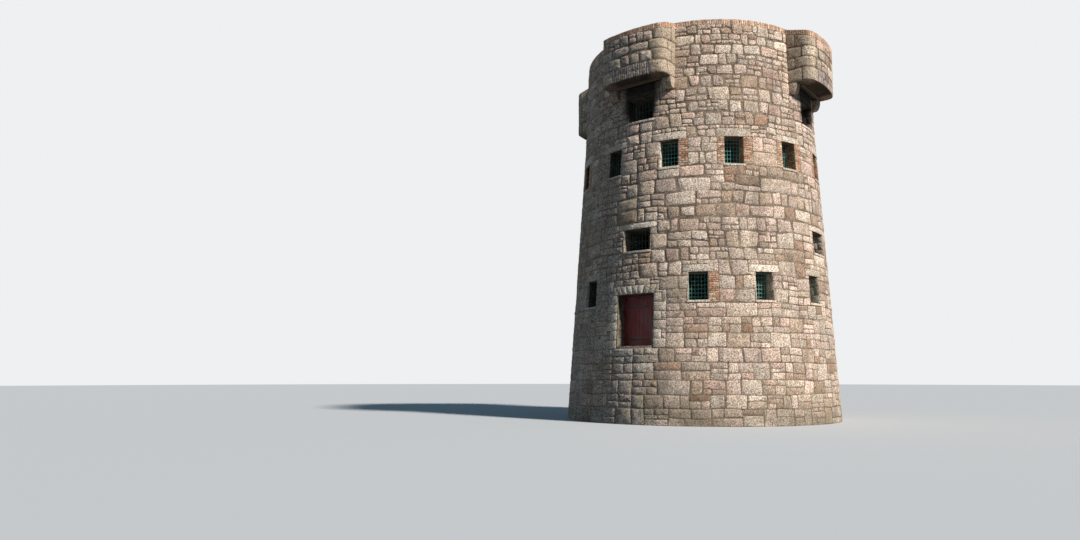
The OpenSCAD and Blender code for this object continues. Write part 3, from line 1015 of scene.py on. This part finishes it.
def walling_material():
    """The wall's own body: lime mortar between the face stones, and limewashed rubble inside."""
    wiring = Surface("mortar_and_rubble")
    position = wiring.position()
    azimuth, height, depth = wiring.use(TOWER, Position=position)
    inside = wiring.between(depth, 0.012, 0.035)
    mortar = wiring.ramp(wiring.noise(position, 1.4, 6, 0.65),
                         *palette((0.34, 112, 97, 83), (0.5, 142, 126, 110), (0.66, 176, 160, 143)))
    # Paler mortar round the shady side: partly lichen over the joints, partly painted light that lifts the
    # joints' shade
    mortar = wiring.mix(shady_side(wiring, azimuth, 0.55, 0.88, 0.75), mortar, srgb(184, 168, 150))
    shade, lumps, crystals = rough_stone(wiring, position, 0.006)
    mortar, cover = weathered_and_shaded(wiring, position, wiring.mix(1, mortar, shade, "MULTIPLY"), 0.15)
    wobble = wiring.noise(position, 3, 2)
    squashed = wiring.vector("MULTIPLY", position, (2.6, 2.6, 4.4))
    joints, block = wiring.blocks(
        wiring.vector("ADD", squashed, wiring.combine(wobble, wobble, wobble)), 1, 0.75)
    rubble = wiring.ramp(block, *palette((0, 96, 84, 72), (0.5, 122, 108, 92), (1, 138, 124, 106)))
    rubble = wiring.mix(wiring.between(joints, 0.02, 0.07, 1, 0), rubble, srgb(88, 76, 64))
    sand = wiring.use(GRAIN, Position=position, Size=0.006)
    rubble = wiring.shade(rubble, sand["Shade"], (0.3, 0.7), (0.7, 1.2))
    lime = wiring.between(wiring.noise(position, 1.6, 6, 0.7), 0.42, 0.56, 0, 0.6)
    rubble = wiring.mix(lime, rubble, srgb(168, 156, 136))
    relief = wiring.plus(wiring.times(inside, wiring.between(joints, 0, 0.1, 0, 0.5)), lumps)
    return wiring.finished(wiring.mix(inside, mortar, rubble), 0.92, 0.2, relief, 0.05)


def paving_material():
    """Large uneven flags with open joints, and the plastered underside of the vaults."""
    wiring = Surface("stone_flags")
    position = wiring.position()
    grain = wiring.use(GRAIN, Position=position, Size=0.012)
    bent = wiring.vector("ADD", position, wiring.combine(wiring.noise(position, 1.5, 2)))
    joints, flag = wiring.blocks(bent, 1.9, 0.6)
    colour = wiring.ramp(flag, *palette((0, 138, 128, 114), (0.5, 160, 150, 134), (1, 178, 166, 148)))
    colour = wiring.mix(wiring.between(joints, 0.006, 0.02, 1, 0), colour, srgb(92, 84, 72))
    colour = wiring.shade(colour, grain["Shade"], (0.3, 0.66), (0.7, 1.25))
    moss = wiring.between(wiring.noise(position, 2.4, 6, 0.7), 0.52, 0.64, 0, 0.55)
    colour = wiring.mix(moss, colour, srgb(104, 108, 76))
    relief = wiring.plus(grain["Height"], wiring.between(joints, 0, 0.03))
    return wiring.finished(colour, 0.9, 0.25, relief, 0.006)


def timber_material(name, light, dark, axis=(0.12, 1, 1)):
    """Boards or joists with grain along an axis, given as the stretch of the pattern along X, Y and Z."""
    wiring = Surface(name)
    position = wiring.position()
    long_grain = wiring.vector("MULTIPLY", position, axis)
    rings = wiring.noise(long_grain, 14, 5, 0.6, 1.2)
    fibres = wiring.noise(long_grain, 90, 3, 0.7)
    colour = wiring.ramp(rings, *palette((0.32, *dark), (0.5, *light), (0.7, *dark)))
    colour = wiring.shade(colour, fibres, (0.3, 0.55), (0.7, 1.3), share=0.5)
    grey = wiring.between(wiring.noise(position, 1.3, 5, 0.6), 0.4, 0.7, 0, 0.5)
    colour = wiring.mix(grey, colour, srgb(138, 128, 114))
    relief = wiring.plus(wiring.times(rings, 0.6), wiring.times(fibres, 0.4))
    return wiring.finished(colour, wiring.between(rings, 0.3, 0.7, 0.62, 0.85), 0.35, relief, 0.003)


def paint_material(name, fresh, faded, rust, worn, painted_shade=0):
    """Old gloss paint that has chalked, with rust showing through, and painted shade on the shady side."""
    wiring = Surface(name)
    position = wiring.position()
    fade = wiring.between(wiring.noise(position, 2.2, 5, 0.6), 0.35, 0.65)
    colour = wiring.mix(fade, srgb(*fresh), srgb(*faded))
    runs = wiring.noise(wiring.vector("MULTIPLY", position, (22, 22, 3)), 1, 4, 0.6)
    colour = wiring.mix(wiring.between(runs, 0.5, 0.75, 0, 0.4), colour, srgb(*rust))
    edge = 0.72 - 0.14 * worn
    chips = wiring.between(wiring.noise(position, 46, 5, 0.7), edge, edge + 0.05)
    colour = wiring.mix(chips, colour, srgb(*rust))
    # Painted shade: the paint darkened round the shady side
    if painted_shade:
        azimuth = wiring.use(TOWER, Position=position)["Azimuth"]
        colour = wiring.mix(shady_side(wiring, azimuth, 0.5, 0.65, painted_shade), colour, srgb(26, 48, 48))
    rough = wiring.plus(wiring.times(chips, 0.35), wiring.between(fade, 0, 1, 0.38, 0.6))
    brush = wiring.noise(wiring.vector("MULTIPLY", position, (60, 60, 6)), 2, 3, 0.5)
    relief = wiring.math("SUBTRACT", wiring.times(brush, 0.4), chips)
    return wiring.finished(colour, rough, 0.5, relief, 0.0008)


GRANITE_COLOURS = palette(
    (0.0, 184, 158, 136), (0.14, 208, 184, 162), (0.3, 222, 202, 182), (0.46, 234, 208, 192),
    (0.6, 216, 197, 177), (0.76, 240, 221, 203), (0.88, 226, 193, 175), (0.95, 200, 181, 162),
    (0.985, 186, 152, 128), (1.0, 166, 132, 110))
DRESSED_COLOURS = palette((0.0, 200, 186, 168), (0.4, 216, 201, 183), (0.75, 226, 214, 198),
                          (1.0, 208, 186, 169))
QUOIN_COLOURS = palette((0.0, 178, 161, 140), (0.4, 196, 178, 155), (0.75, 204, 189, 169),
                        (1.0, 188, 166, 146))
BRICK_COLOURS = palette((0.0, 164, 118, 94), (0.22, 190, 138, 108), (0.45, 204, 170, 144),
                        (0.62, 182, 134, 106), (0.8, 214, 194, 168), (1.0, 150, 118, 96))
COPING_COLOURS = palette((0.0, 196, 144, 116), (0.25, 224, 184, 156), (0.5, 232, 204, 180),
                         (0.75, 216, 166, 136), (1.0, 208, 190, 170))
# The soldier bricks: a greyer, darker copy of the brick colours, painted shade for the bricks at the
# machicolations' foot
SHADED_BRICK_COLOURS = palette((0.0, 122, 112, 110), (0.3, 172, 158, 152), (0.55, 146, 124, 116),
                        (0.8, 202, 190, 182), (1.0, 104, 96, 96))
GRANITE = stone_material("granite", GRANITE_COLOURS, 0.012, 0.3, depth=0.06)
DRESSED = stone_material("dressed_granite", DRESSED_COLOURS, 0.009, 0.12, 0.8, 0.016)
CORBEL_STONE = stone_material("corbel_stone", QUOIN_COLOURS, 0.01, 0.2, 0.9, 0.016)
BRICK = stone_material("weathered_brick", BRICK_COLOURS, 0.008, 0.34, 0.6, 0.007)
COPING_BRICK = stone_material("coping_brick", COPING_COLOURS, 0.008, 0.14, 0.8, 0.007)
SHADED_BRICK = stone_material("shaded_brick", SHADED_BRICK_COLOURS, 0.008, 0.3, 1, 0.007)
MORTAR = walling_material()
FLAGS = paving_material()
BOARDS = timber_material("floor_boards", (168, 134, 96), (118, 88, 60))
JOISTS = timber_material("floor_joists", (138, 104, 72), (92, 66, 44), (0.1, 1, 1))
HATCH = timber_material("hatch_timber", (140, 122, 98), (96, 80, 62))
RED_PAINT = paint_material("red_door_paint", (104, 28, 34), (124, 48, 48), (66, 42, 38), 0.6)
# The loophole grilles' last value darkens them round the shady side, as painted shade
TEAL_PAINT = paint_material("green_grille_paint", (96, 190, 180), (146, 210, 200), (120, 96, 76), 0.4, 0.7)
# The upper openings' bars: a darker copy of the grilles' teal, painted shade for the openings under the
# machicolations
SHADED_TEAL_PAINT = paint_material("shaded_green_bar_paint", (38, 84, 78), (64, 108, 100), (74, 56, 44), 0.6)
IRON = paint_material("black_iron", (46, 44, 42), (70, 64, 58), (120, 72, 46), 0.9)


def door_surround(sheet):
    """Marks the doorway and its jambs of long and short blocks, and gives the levels of its flat arch."""
    half = DOOR_W / 2
    course = DOOR_H / JAMB_BLOCKS
    arch_low = BASE_Z + DOOR_H
    sheet.mark(-half, half, BASE_Z, arch_low)
    for side in (-1, 1):
        for row in range(JAMB_BLOCKS):
            low = BASE_Z + row * course
            far = half + JAMB_BLOCK_WS[row % 2]
            sheet.dressed.append(sheet.mark(side * half, side * far, low, low + course))
    sheet.mark(-ARCH_HALF_W, ARCH_HALF_W, arch_low, arch_low + ARCH_H)
    return arch_low, arch_low + ARCH_H


def lay_out_wall():
    """The sheet of the whole round wall, with every opening but the door and its dressings marked on it."""
    sheet = Sheet(0, PARAPET_TOP)
    for side in (1, -1):
        for azimuth in FIRST_LOOPS:
            lintel = (rng.uniform(0.14, 0.24), rng.uniform(0.22, 0.28))
            bricks = WIDE_JAMB if azimuth == FIRST_LOOPS[0] else NARROW_JAMB * (rng.random() < 0.4)
            jambs = (0, 0 if side * azimuth in STONE_JAMBS else bricks)
            sheet.frame_opening(side * azimuth, LOOP_W, FIRST_LOOP_Z, LOOP_H, lintel, jambs)
        for azimuth in SECOND_LOOPS:
            lintel = (0.30, 0.30)
            if azimuth != SECOND_LOOPS[1]:
                lintel = (rng.uniform(0.14, 0.3), rng.uniform(0.2, 0.3))
            jambs = (0 if azimuth == SECOND_LOOPS[0] else NARROW_JAMB, WIDE_JAMB)
            if side * azimuth in STONE_JAMBS:
                jambs = (0, 0)
            sheet.frame_opening(side * azimuth, LOOP_W, SECOND_LOOP_Z, LOOP_H, lintel, jambs)
    sheet.frame_opening(BACK_LOOP, LOOP_W, SECOND_LOOP_Z, LOOP_H, (0.22, 0.26), (NARROW_JAMB, WIDE_JAMB))
    for azimuth in SIDES.values():
        for low, height in (FIRST_UPPER, SECOND_UPPER):
            sheet.frame_opening(azimuth, UPPER_W, low, height, (0.24, 0.2))
        centre = math.radians(azimuth) * sheet.radius
        wide = MACH_HALF_W * sheet.radius / wall_r(MACH_FOOT_Z)
        sheet.mark(centre - wide, centre + wide, MACH_FOOT_Z, PARAPET_TOP)
        for side in (-1, 1):
            sheet.mark(centre + side * wide, centre + side * (wide - CORBEL_W - 0.02),
                       CORBEL_FOOT_Z - 0.02, MACH_FOOT_Z)
    return sheet


wall = lay_out_wall()
arch_low, arch_high = door_surround(wall)

wall_meshes = {}
for piece_name, low, high, pitch, grain, finish in WALL_LIFTS:
    cells = wall.stones(lifts(low, high, pitch), grain)
    wall_meshes.setdefault(piece_name, []).append(masonry(cells, wall.place, finish, drift=wall.drift))
for piece_name, meshes in wall_meshes.items():
    finish_piece(joined(meshes), f"{piece_name}_stones", GRANITE)


def fan(x, y):
    """The lean of the voussoirs of the doorway's flat arch, whose outer ends are upright."""
    inner = abs(x) < ARCH_HALF_W - 0.01
    return x * 0.2 * inner * (y - arch_low) / ARCH_H, 0, 0


voussoir = 2 * ARCH_HALF_W / VOUSSOIRS
arch_cells = [(i * voussoir - ARCH_HALF_W, (i + 1) * voussoir - ARCH_HALF_W, arch_low, arch_high)
              for i in range(VOUSSOIRS)]
finish_piece(masonry(arch_cells, wall.place, DRESSED_FINISH, drift=fan), "doorway_arch", DRESSED)
folds = [(x0 + x1) / 2 + aside for x0, x1, y0, y1 in wall.sills for aside in (-0.28, 0, 0.28)]
lintels = masonry(wall.dressed, wall.place, DRESSED_FINISH, folds=folds)
finish_piece(lintels, "lintels_and_door_jambs", DRESSED)
finish_piece(masonry(wall.sills, wall.place, SILL, SILL_D, folds=folds), "window_sills", DRESSED)
finish_piece(masonry(wall.bricks, wall.place, BRICKWORK), "window_jamb_bricks", BRICK)
brick_linings = [masonry(cells, place, BRICKWORK) for cells, place, brick in wall.linings if brick]
finish_piece(joined(brick_linings), "reveal_bricks", BRICK)
stone_linings = [masonry(cells, place, DRESSED_FINISH) for cells, place, brick in wall.linings if not brick]
finish_piece(joined(stone_linings), "reveal_stones", DRESSED)

for side, azimuth in SIDES.items():
    face = Outline(azimuth, MACH_HALF_W, MACH_R, MACH_CORNER_R)
    end = face.end(wall_r(MACH_FOOT_Z)) + 0.06
    courses = [MACH_FOOT_Z, *lifts(MACH_FOOT_Z + SOLDIER_ROWS * SOLDIER_H, MACH_TOP, QUOIN_PITCH)]
    rubble = []
    quoins = []
    for row, (low, high) in enumerate(zip(courses, courses[1:])):
        near = face.front - QUOIN_REACHES[row % 2]
        joint = face.bend + QUOIN_BACKS[row % 2]
        for sign in (-1, 1):
            for a, b in ((near, joint), (joint, end)):
                quoins.append((*sorted((sign * a, sign * b)), low, high))
        if row:
            rubble += rubble_between(-near, near, (low, high))
    half = face.front - QUOIN_REACHES[0]
    soldiers = bricks_on_edge(-half, half, SOLDIER_ROWS, SOLDIER_H, SOLDIER_PITCH, MACH_FOOT_Z)
    finish_piece(masonry(rubble, face.place, RUBBLE), f"machicolation_rubble_{side}", GRANITE)
    finish_piece(masonry(quoins, face.place, SQUARED, folds=face.folds), f"machicolation_quoins_{side}",
                 CORBEL_STONE)
    finish_piece(masonry(soldiers, face.place, BRICKWORK), f"machicolation_soldier_bricks_{side}",
                 SHADED_BRICK)

for side, azimuth in SIDES.items():
    name = f"machicolation_corbels_{side}"
    piece = finish_piece(eased_corbels(name, azimuth), f"{name}_stones", CORBEL_STONE, 30)
    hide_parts(name)

# Bricks on edge round the rim, on a core of mortar, in place of the plain copings
core_meshes = []
for quarter, azimuth in QUARTERS.items():
    ring = Ring(azimuth)
    bricks = []
    for row in range(ring.rows):
        bricks += bricks_on_edge(0, ring.length(row), 1, ring.row_depth, BRICK_PITCH, row * ring.row_depth)
    piece = finish_piece(coping_bricks(bricks, ring.place), f"parapet_coping_bricks_{quarter}",
                         COPING_BRICK)
    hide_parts(f"parapet_coping_{quarter}")
    core_meshes.append(coping_core(0.002, 0.998, ring.depth, 48, ring.at))
for side, azimuth in SIDES.items():
    coping = Coping(azimuth)
    bricks = bricks_on_edge(-coping.length, coping.length, 2, coping.depth / 2, BRICK_PITCH)
    piece = finish_piece(coping_bricks(bricks, coping.place), f"machicolation_coping_bricks_{side}",
                         COPING_BRICK)
    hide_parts(f"machicolation_coping_{side}")
    core_meshes.append(coping_core(-coping.length, coping.length, coping.depth, 64, coping.place))
finish_piece(joined(core_meshes), "coping_mortar", MORTAR)

# Rubble inside the parapet, and in the bays from the parapet's ends round the inner face of each front
parapet_levels = lifts(PLATFORM_Z + 0.01, PARAPET_TOP, INNER_PITCH)
bay_levels = lifts(PLATFORM_Z + 0.01, MACH_TOP, INNER_PITCH)
inner_meshes = []
for azimuth in QUARTERS.values():
    ring = Ring(azimuth)
    inner_meshes.append(masonry(rubble_between(0, ring.inner_length, parapet_levels), ring.inside, RUBBLE))
for azimuth in SIDES.values():
    bay = Outline(azimuth, BAY_HALF_W, MACH_R - MACH_FRONT_T, MACH_INNER_CORNER_R, facing=-1)
    end = bay.end(PARAPET_IN_R) - 0.02
    inner_meshes.append(masonry(rubble_between(-end, end, bay_levels), bay.place, RUBBLE, folds=bay.folds))
finish_piece(joined(inner_meshes), "parapet_inner_stones", GRANITE)

# Flags of the platform in straight rows that end at the parapet, and in the bays
hatch_low, hatch_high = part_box("roof_hatch_cover")
flag_levels = lifts(FLAG_MARGIN - FLAG_R, hatch_low[1] - FLAG_GAP, FLAG_W)
flag_levels += lifts(hatch_high[1] + FLAG_GAP, FLAG_R - FLAG_MARGIN, FLAG_W)
FLAG_ROWS = list(zip(flag_levels, flag_levels[1:]))


def chord(y):
    """Half the width of the platform at y."""
    return math.sqrt(max(FLAG_R ** 2 - y * y, 0.01))


def paved(x, y, out):
    """The point on the platform, with the ends of each row of flags fitted to the parapet's curve."""
    low, high = next((row for row in FLAG_ROWS if y <= row[1]), FLAG_ROWS[-1])
    return Vector((x * chord(y) / chord((low + high) / 2), y, PLATFORM_Z + out))


flags = []
for low, high in FLAG_ROWS:
    half = chord((low + high) / 2)
    spans = [(-half, half)]
    if low < hatch_low[1] < high:
        spans = [(-half, hatch_low[0] - FLAG_GAP), (hatch_high[0] + FLAG_GAP, half)]
    for x0, x1 in spans:
        cuts = uneven_cuts(x0, x1, max(1, round((x1 - x0) / FLAG_L)), 0.2)
        flags += [(a, b, low, high) for a, b in zip(cuts, cuts[1:])]
flag_meshes = [masonry(flags, paved, FLAGGING)]
bay_flags = [(x0, x1, -4.30, -3.42) for x0, x1 in zip(BAY_FLAGS, BAY_FLAGS[1:])]
for azimuth in SIDES.values():
    flag_meshes.append(masonry(bay_flags, level(PLATFORM_Z, azimuth), FLAGGING))
finish_piece(joined(flag_meshes), "platform_flags", GRANITE)

# Old boards that close the slots between the wall and the machicolations, on a bearer along each front
boards = [(SLOT_BOARD_W * i - BAY_FLOOR, SLOT_BOARD_W * (i + 1) - BAY_FLOOR, -SLOT_OUT, -SLOT_IN)
          for i in range(SLOT_BOARDS)]
bearer = (-BAY_FLOOR, BAY_FLOOR, 0.04 - SLOT_OUT, 0.14 - SLOT_OUT)
slot_meshes = []
for azimuth in SIDES.values():
    slot_meshes.append(masonry(boards, level(PLATFORM_Z - SLOT_BOARD_SUNK, azimuth), PLANKS, SLOT_BOARD_T))
    slot_meshes.append(masonry([bearer], level(PLATFORM_Z - BEARER_SUNK, azimuth), PLANKS, BEARER_T))
finish_piece(joined(slot_meshes), "slot_boards", HATCH)

# The hatch's boards and the two battens that hold them
x0, y0, z0 = hatch_low
x1, y1, z1 = hatch_high
width = (y1 - y0) / HATCH_BOARDS
boards = [(x0 + HATCH_GAP, x1 - HATCH_GAP, y0 + width * i, y0 + width * (i + 1))
          for i in range(HATCH_BOARDS)]
hatch_meshes = [masonry(boards, level(z1 - HATCH_BOARD_T), PLANKS, z1 - z0 - HATCH_BOARD_T)]
for x in (x0 + BATTEN_IN, x1 - BATTEN_IN - BATTEN_W):
    batten = (x, x + BATTEN_W, y0 + 0.03, y1 - 0.03)
    hatch_meshes.append(masonry([batten], level(z1 - 0.006), PLANKS, 0.03))
hatch = finish_piece(joined(hatch_meshes), "roof_hatch_boards", HATCH)
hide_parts("roof_hatch_cover")


def bar(mesh, first, second, thickness):
    """Adds a round bar between two points."""
    along = second - first
    place = Matrix.Translation((first + second) / 2) @ along.to_track_quat("Z", "Y").to_matrix().to_4x4()
    bmesh.ops.create_cone(mesh, cap_ends=True, segments=8, radius1=thickness / 2, radius2=thickness / 2,
                          depth=along.length, matrix=place)


# Pitches of the grilles' bars, upright and across, in the windows and in the upper openings
LOOP_PITCHES = (0.11, 0.136)
UPPER_PITCHES = (0.13, 0.43)
# Thickness of a grille's upright bars, bars across and rim, and how far its rim is in from the opening
UPRIGHT_T = 0.015
ACROSS_T = 0.014
RIM_T = 0.026
RIM_IN = 0.012


def grille(mesh, azimuth, width, low, height, pitches):
    """Adds a grille in an opening, with its bars' ends in the jambs and a rim of bars round it."""
    turn = turned(azimuth)
    high = low + height
    half = width / 2
    back = GRILLE_SETBACK - wall_r((low + high) / 2)

    def spot(x, z, forward=0):
        return turn @ Vector((x, back - forward, z))

    count = round(width / pitches[0])
    for i in range(1, count):
        x = -half + width * i / count
        bar(mesh, spot(x, low - 0.02), spot(x, high + 0.02), UPRIGHT_T)
    count = round(height / pitches[1])
    for i in range(1, count):
        z = low + height * i / count
        bar(mesh, spot(-half - 0.02, z, 0.012), spot(half + 0.02, z, 0.012), ACROSS_T)
    half -= RIM_IN
    for z in (low + RIM_IN, high - RIM_IN):
        bar(mesh, spot(-half, z), spot(half, z), RIM_T)
    for x in (-half, half):
        bar(mesh, spot(x, low + RIM_IN), spot(x, high - RIM_IN), RIM_T)


first_grilles = bmesh.new()
second_grilles = bmesh.new()
upper_bars = bmesh.new()
for side in (1, -1):
    for azimuth in FIRST_LOOPS:
        grille(first_grilles, side * azimuth, LOOP_W, FIRST_LOOP_Z, LOOP_H, LOOP_PITCHES)
    for azimuth in SECOND_LOOPS:
        grille(second_grilles, side * azimuth, LOOP_W, SECOND_LOOP_Z, LOOP_H, LOOP_PITCHES)
grille(second_grilles, BACK_LOOP, LOOP_W, SECOND_LOOP_Z, LOOP_H, LOOP_PITCHES)
for azimuth in SIDES.values():
    for low, height in (FIRST_UPPER, SECOND_UPPER):
        grille(upper_bars, azimuth, UPPER_W, low, height, UPPER_PITCHES)
finish_piece(first_grilles, "loophole_grilles_first_storey", TEAL_PAINT)
finish_piece(second_grilles, "loophole_grilles_second_storey", TEAL_PAINT)
finish_piece(upper_bars, "upper_opening_bars", SHADED_TEAL_PAINT)

# Strap hinges: their length, half width, thickness, and the places and radius of their bolts
STRAP_L = 0.87
STRAP_HALF_W = 0.03
STRAP_T = 0.004
BOLTS = (0.07, 0.25, 0.43, 0.61, 0.79)
BOLT_R = 0.014
# The ring handle's radius and half its thickness
HANDLE_R = 0.055
HANDLE_THIN = 0.008

# Two strap hinges with their bolts, and a ring handle, on the door leaf
leaf_low, leaf_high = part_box("door_leaf")
leaf_face = leaf_low[1]
hinge_x = leaf_low[0] + 0.01


def on_leaf(x, y, out):
    """The point on the front of the door leaf."""
    return Vector((x, leaf_face - out, y))


strap_levels = [leaf_low[2] + share * (leaf_high[2] - leaf_low[2]) for share in (0.16, 0.82)]
straps = [(hinge_x, hinge_x + STRAP_L, z - STRAP_HALF_W, z + STRAP_HALF_W) for z in strap_levels]
ironwork = joined([masonry([strap], on_leaf, IRON_PLATE, STRAP_T) for strap in straps])
for z in strap_levels:
    for x in BOLTS:
        bolt = Matrix.Translation(on_leaf(hinge_x + x, z, 0.006))
        bmesh.ops.create_uvsphere(ironwork, u_segments=10, v_segments=6, radius=BOLT_R, matrix=bolt)
ring_at = on_leaf(leaf_high[0] - 0.13, leaf_low[2] + 0.95, 0.014)
ring_side = Matrix.Translation(ring_at + Vector((HANDLE_R, 0, 0)))
circle = bmesh.ops.create_circle(ironwork, segments=10, radius=HANDLE_THIN, matrix=ring_side)["verts"]
edges = list({edge for vertex in circle for edge in vertex.link_edges})
bmesh.ops.spin(ironwork, geom=circle + edges, cent=ring_at, axis=(0, 1, 0), angle=math.tau, steps=24,
               use_merge=True)
bmesh.ops.create_uvsphere(ironwork, u_segments=12, v_segments=8, radius=0.02,
                          matrix=Matrix.Translation(ring_at + Vector((0, 0.006, HANDLE_R))))
bmesh.ops.recalc_face_normals(ironwork, faces=ironwork.faces[:])
finish_piece(ironwork, "door_ironwork", IRON)

# Materials of the frame's own nodes. Those that aren't named are walling
NODE_MATERIALS = {"first_floor": FLAGS, "second_floor_joists": JOISTS, "second_floor_boards": BOARDS,
                  "roof_platform": FLAGS, "roof_hatch_cover": HATCH, "door_threshold": CORBEL_STONE,
                  "door_frame": RED_PAINT, "door_leaf": RED_PAINT}
for name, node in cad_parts.items():
    material = CORBEL_STONE if "corbels" in name else NODE_MATERIALS.get(name, MORTAR)
    for slot in node.material_slots:
        slot.material = material

# The camera stands at the photograph's viewpoint, and its lens axis passes left of the tower
CAMERA_AZIMUTH = math.radians(26.36)
CAMERA_DISTANCE = 30.47
CAMERA_Z = 1.60
camera_data = bpy.data.cameras.new("camera")
camera_data.lens = 25.21
camera_data.shift_y = 0.06
camera_data.clip_end = 1000
camera = bpy.data.objects.new("camera", camera_data)
camera.location = polar(CAMERA_AZIMUTH, CAMERA_DISTANCE, CAMERA_Z)
camera.rotation_euler = (math.radians(93.23), 0, CAMERA_AZIMUTH + math.radians(11.90))
bpy.context.collection.objects.link(camera)
bpy.context.scene.camera = camera

# The sun's azimuth and its height above the horizon, in degrees
SUN_AZIMUTH = 84
SUN_ALTITUDE = 37
sun_data = bpy.data.lights.new("sun", "SUN")
sun_data.energy = 4.4
sun_data.angle = math.radians(6)
sun_data.color = (1, 0.98, 0.96)
sun = bpy.data.objects.new("sun", sun_data)
sun.rotation_euler = (math.radians(90 - SUN_ALTITUDE), 0, math.radians(SUN_AZIMUTH))
bpy.context.collection.objects.link(sun)

# A wide pale floor that throws back less light than it shows
ground_mesh = bmesh.new()
bmesh.ops.create_circle(ground_mesh, cap_ends=True, segments=96, radius=160)
ground_data = bpy.data.meshes.new("ground")
ground_mesh.to_mesh(ground_data)
ground_mesh.free()
ground = bpy.data.objects.new("ground", ground_data)
bpy.context.collection.objects.link(ground)
floor = Surface("pale_floor")
seen = floor.add("ShaderNodeLightPath").outputs["Is Camera Ray"]
floor_colour = floor.mix(seen, (0.15, 0.15, 0.16, 1), (0.60, 0.60, 0.59, 1))
ground_data.materials.append(floor.finished(floor_colour, 1, 0))

# A faint blue fill lights the shade, and a pale backdrop is what the camera sees
world = bpy.data.worlds.new("studio")
world.use_nodes = True
bpy.context.scene.world = world
sky = Wiring(world.node_tree)
path = sky.add("ShaderNodeLightPath").outputs
seen = sky.math("ADD", path["Is Camera Ray"], sky.plus(path["Is Glossy Ray"], path["Is Transmission Ray"]),
                clamp=True)
fill = sky.add("ShaderNodeBackground", {"Color": (0.42, 0.71, 1, 1), "Strength": 0.2})
backdrop = sky.add("ShaderNodeBackground", {"Color": (0.86, 0.87, 0.88, 1), "Strength": 1})
shown = sky.add("ShaderNodeMixShader", {0: seen, 1: fill.outputs[0], 2: backdrop.outputs[0]})
sky.add("ShaderNodeOutputWorld", {0: shown.outputs[0]})

bpy.context.scene.view_settings.view_transform = "Standard"
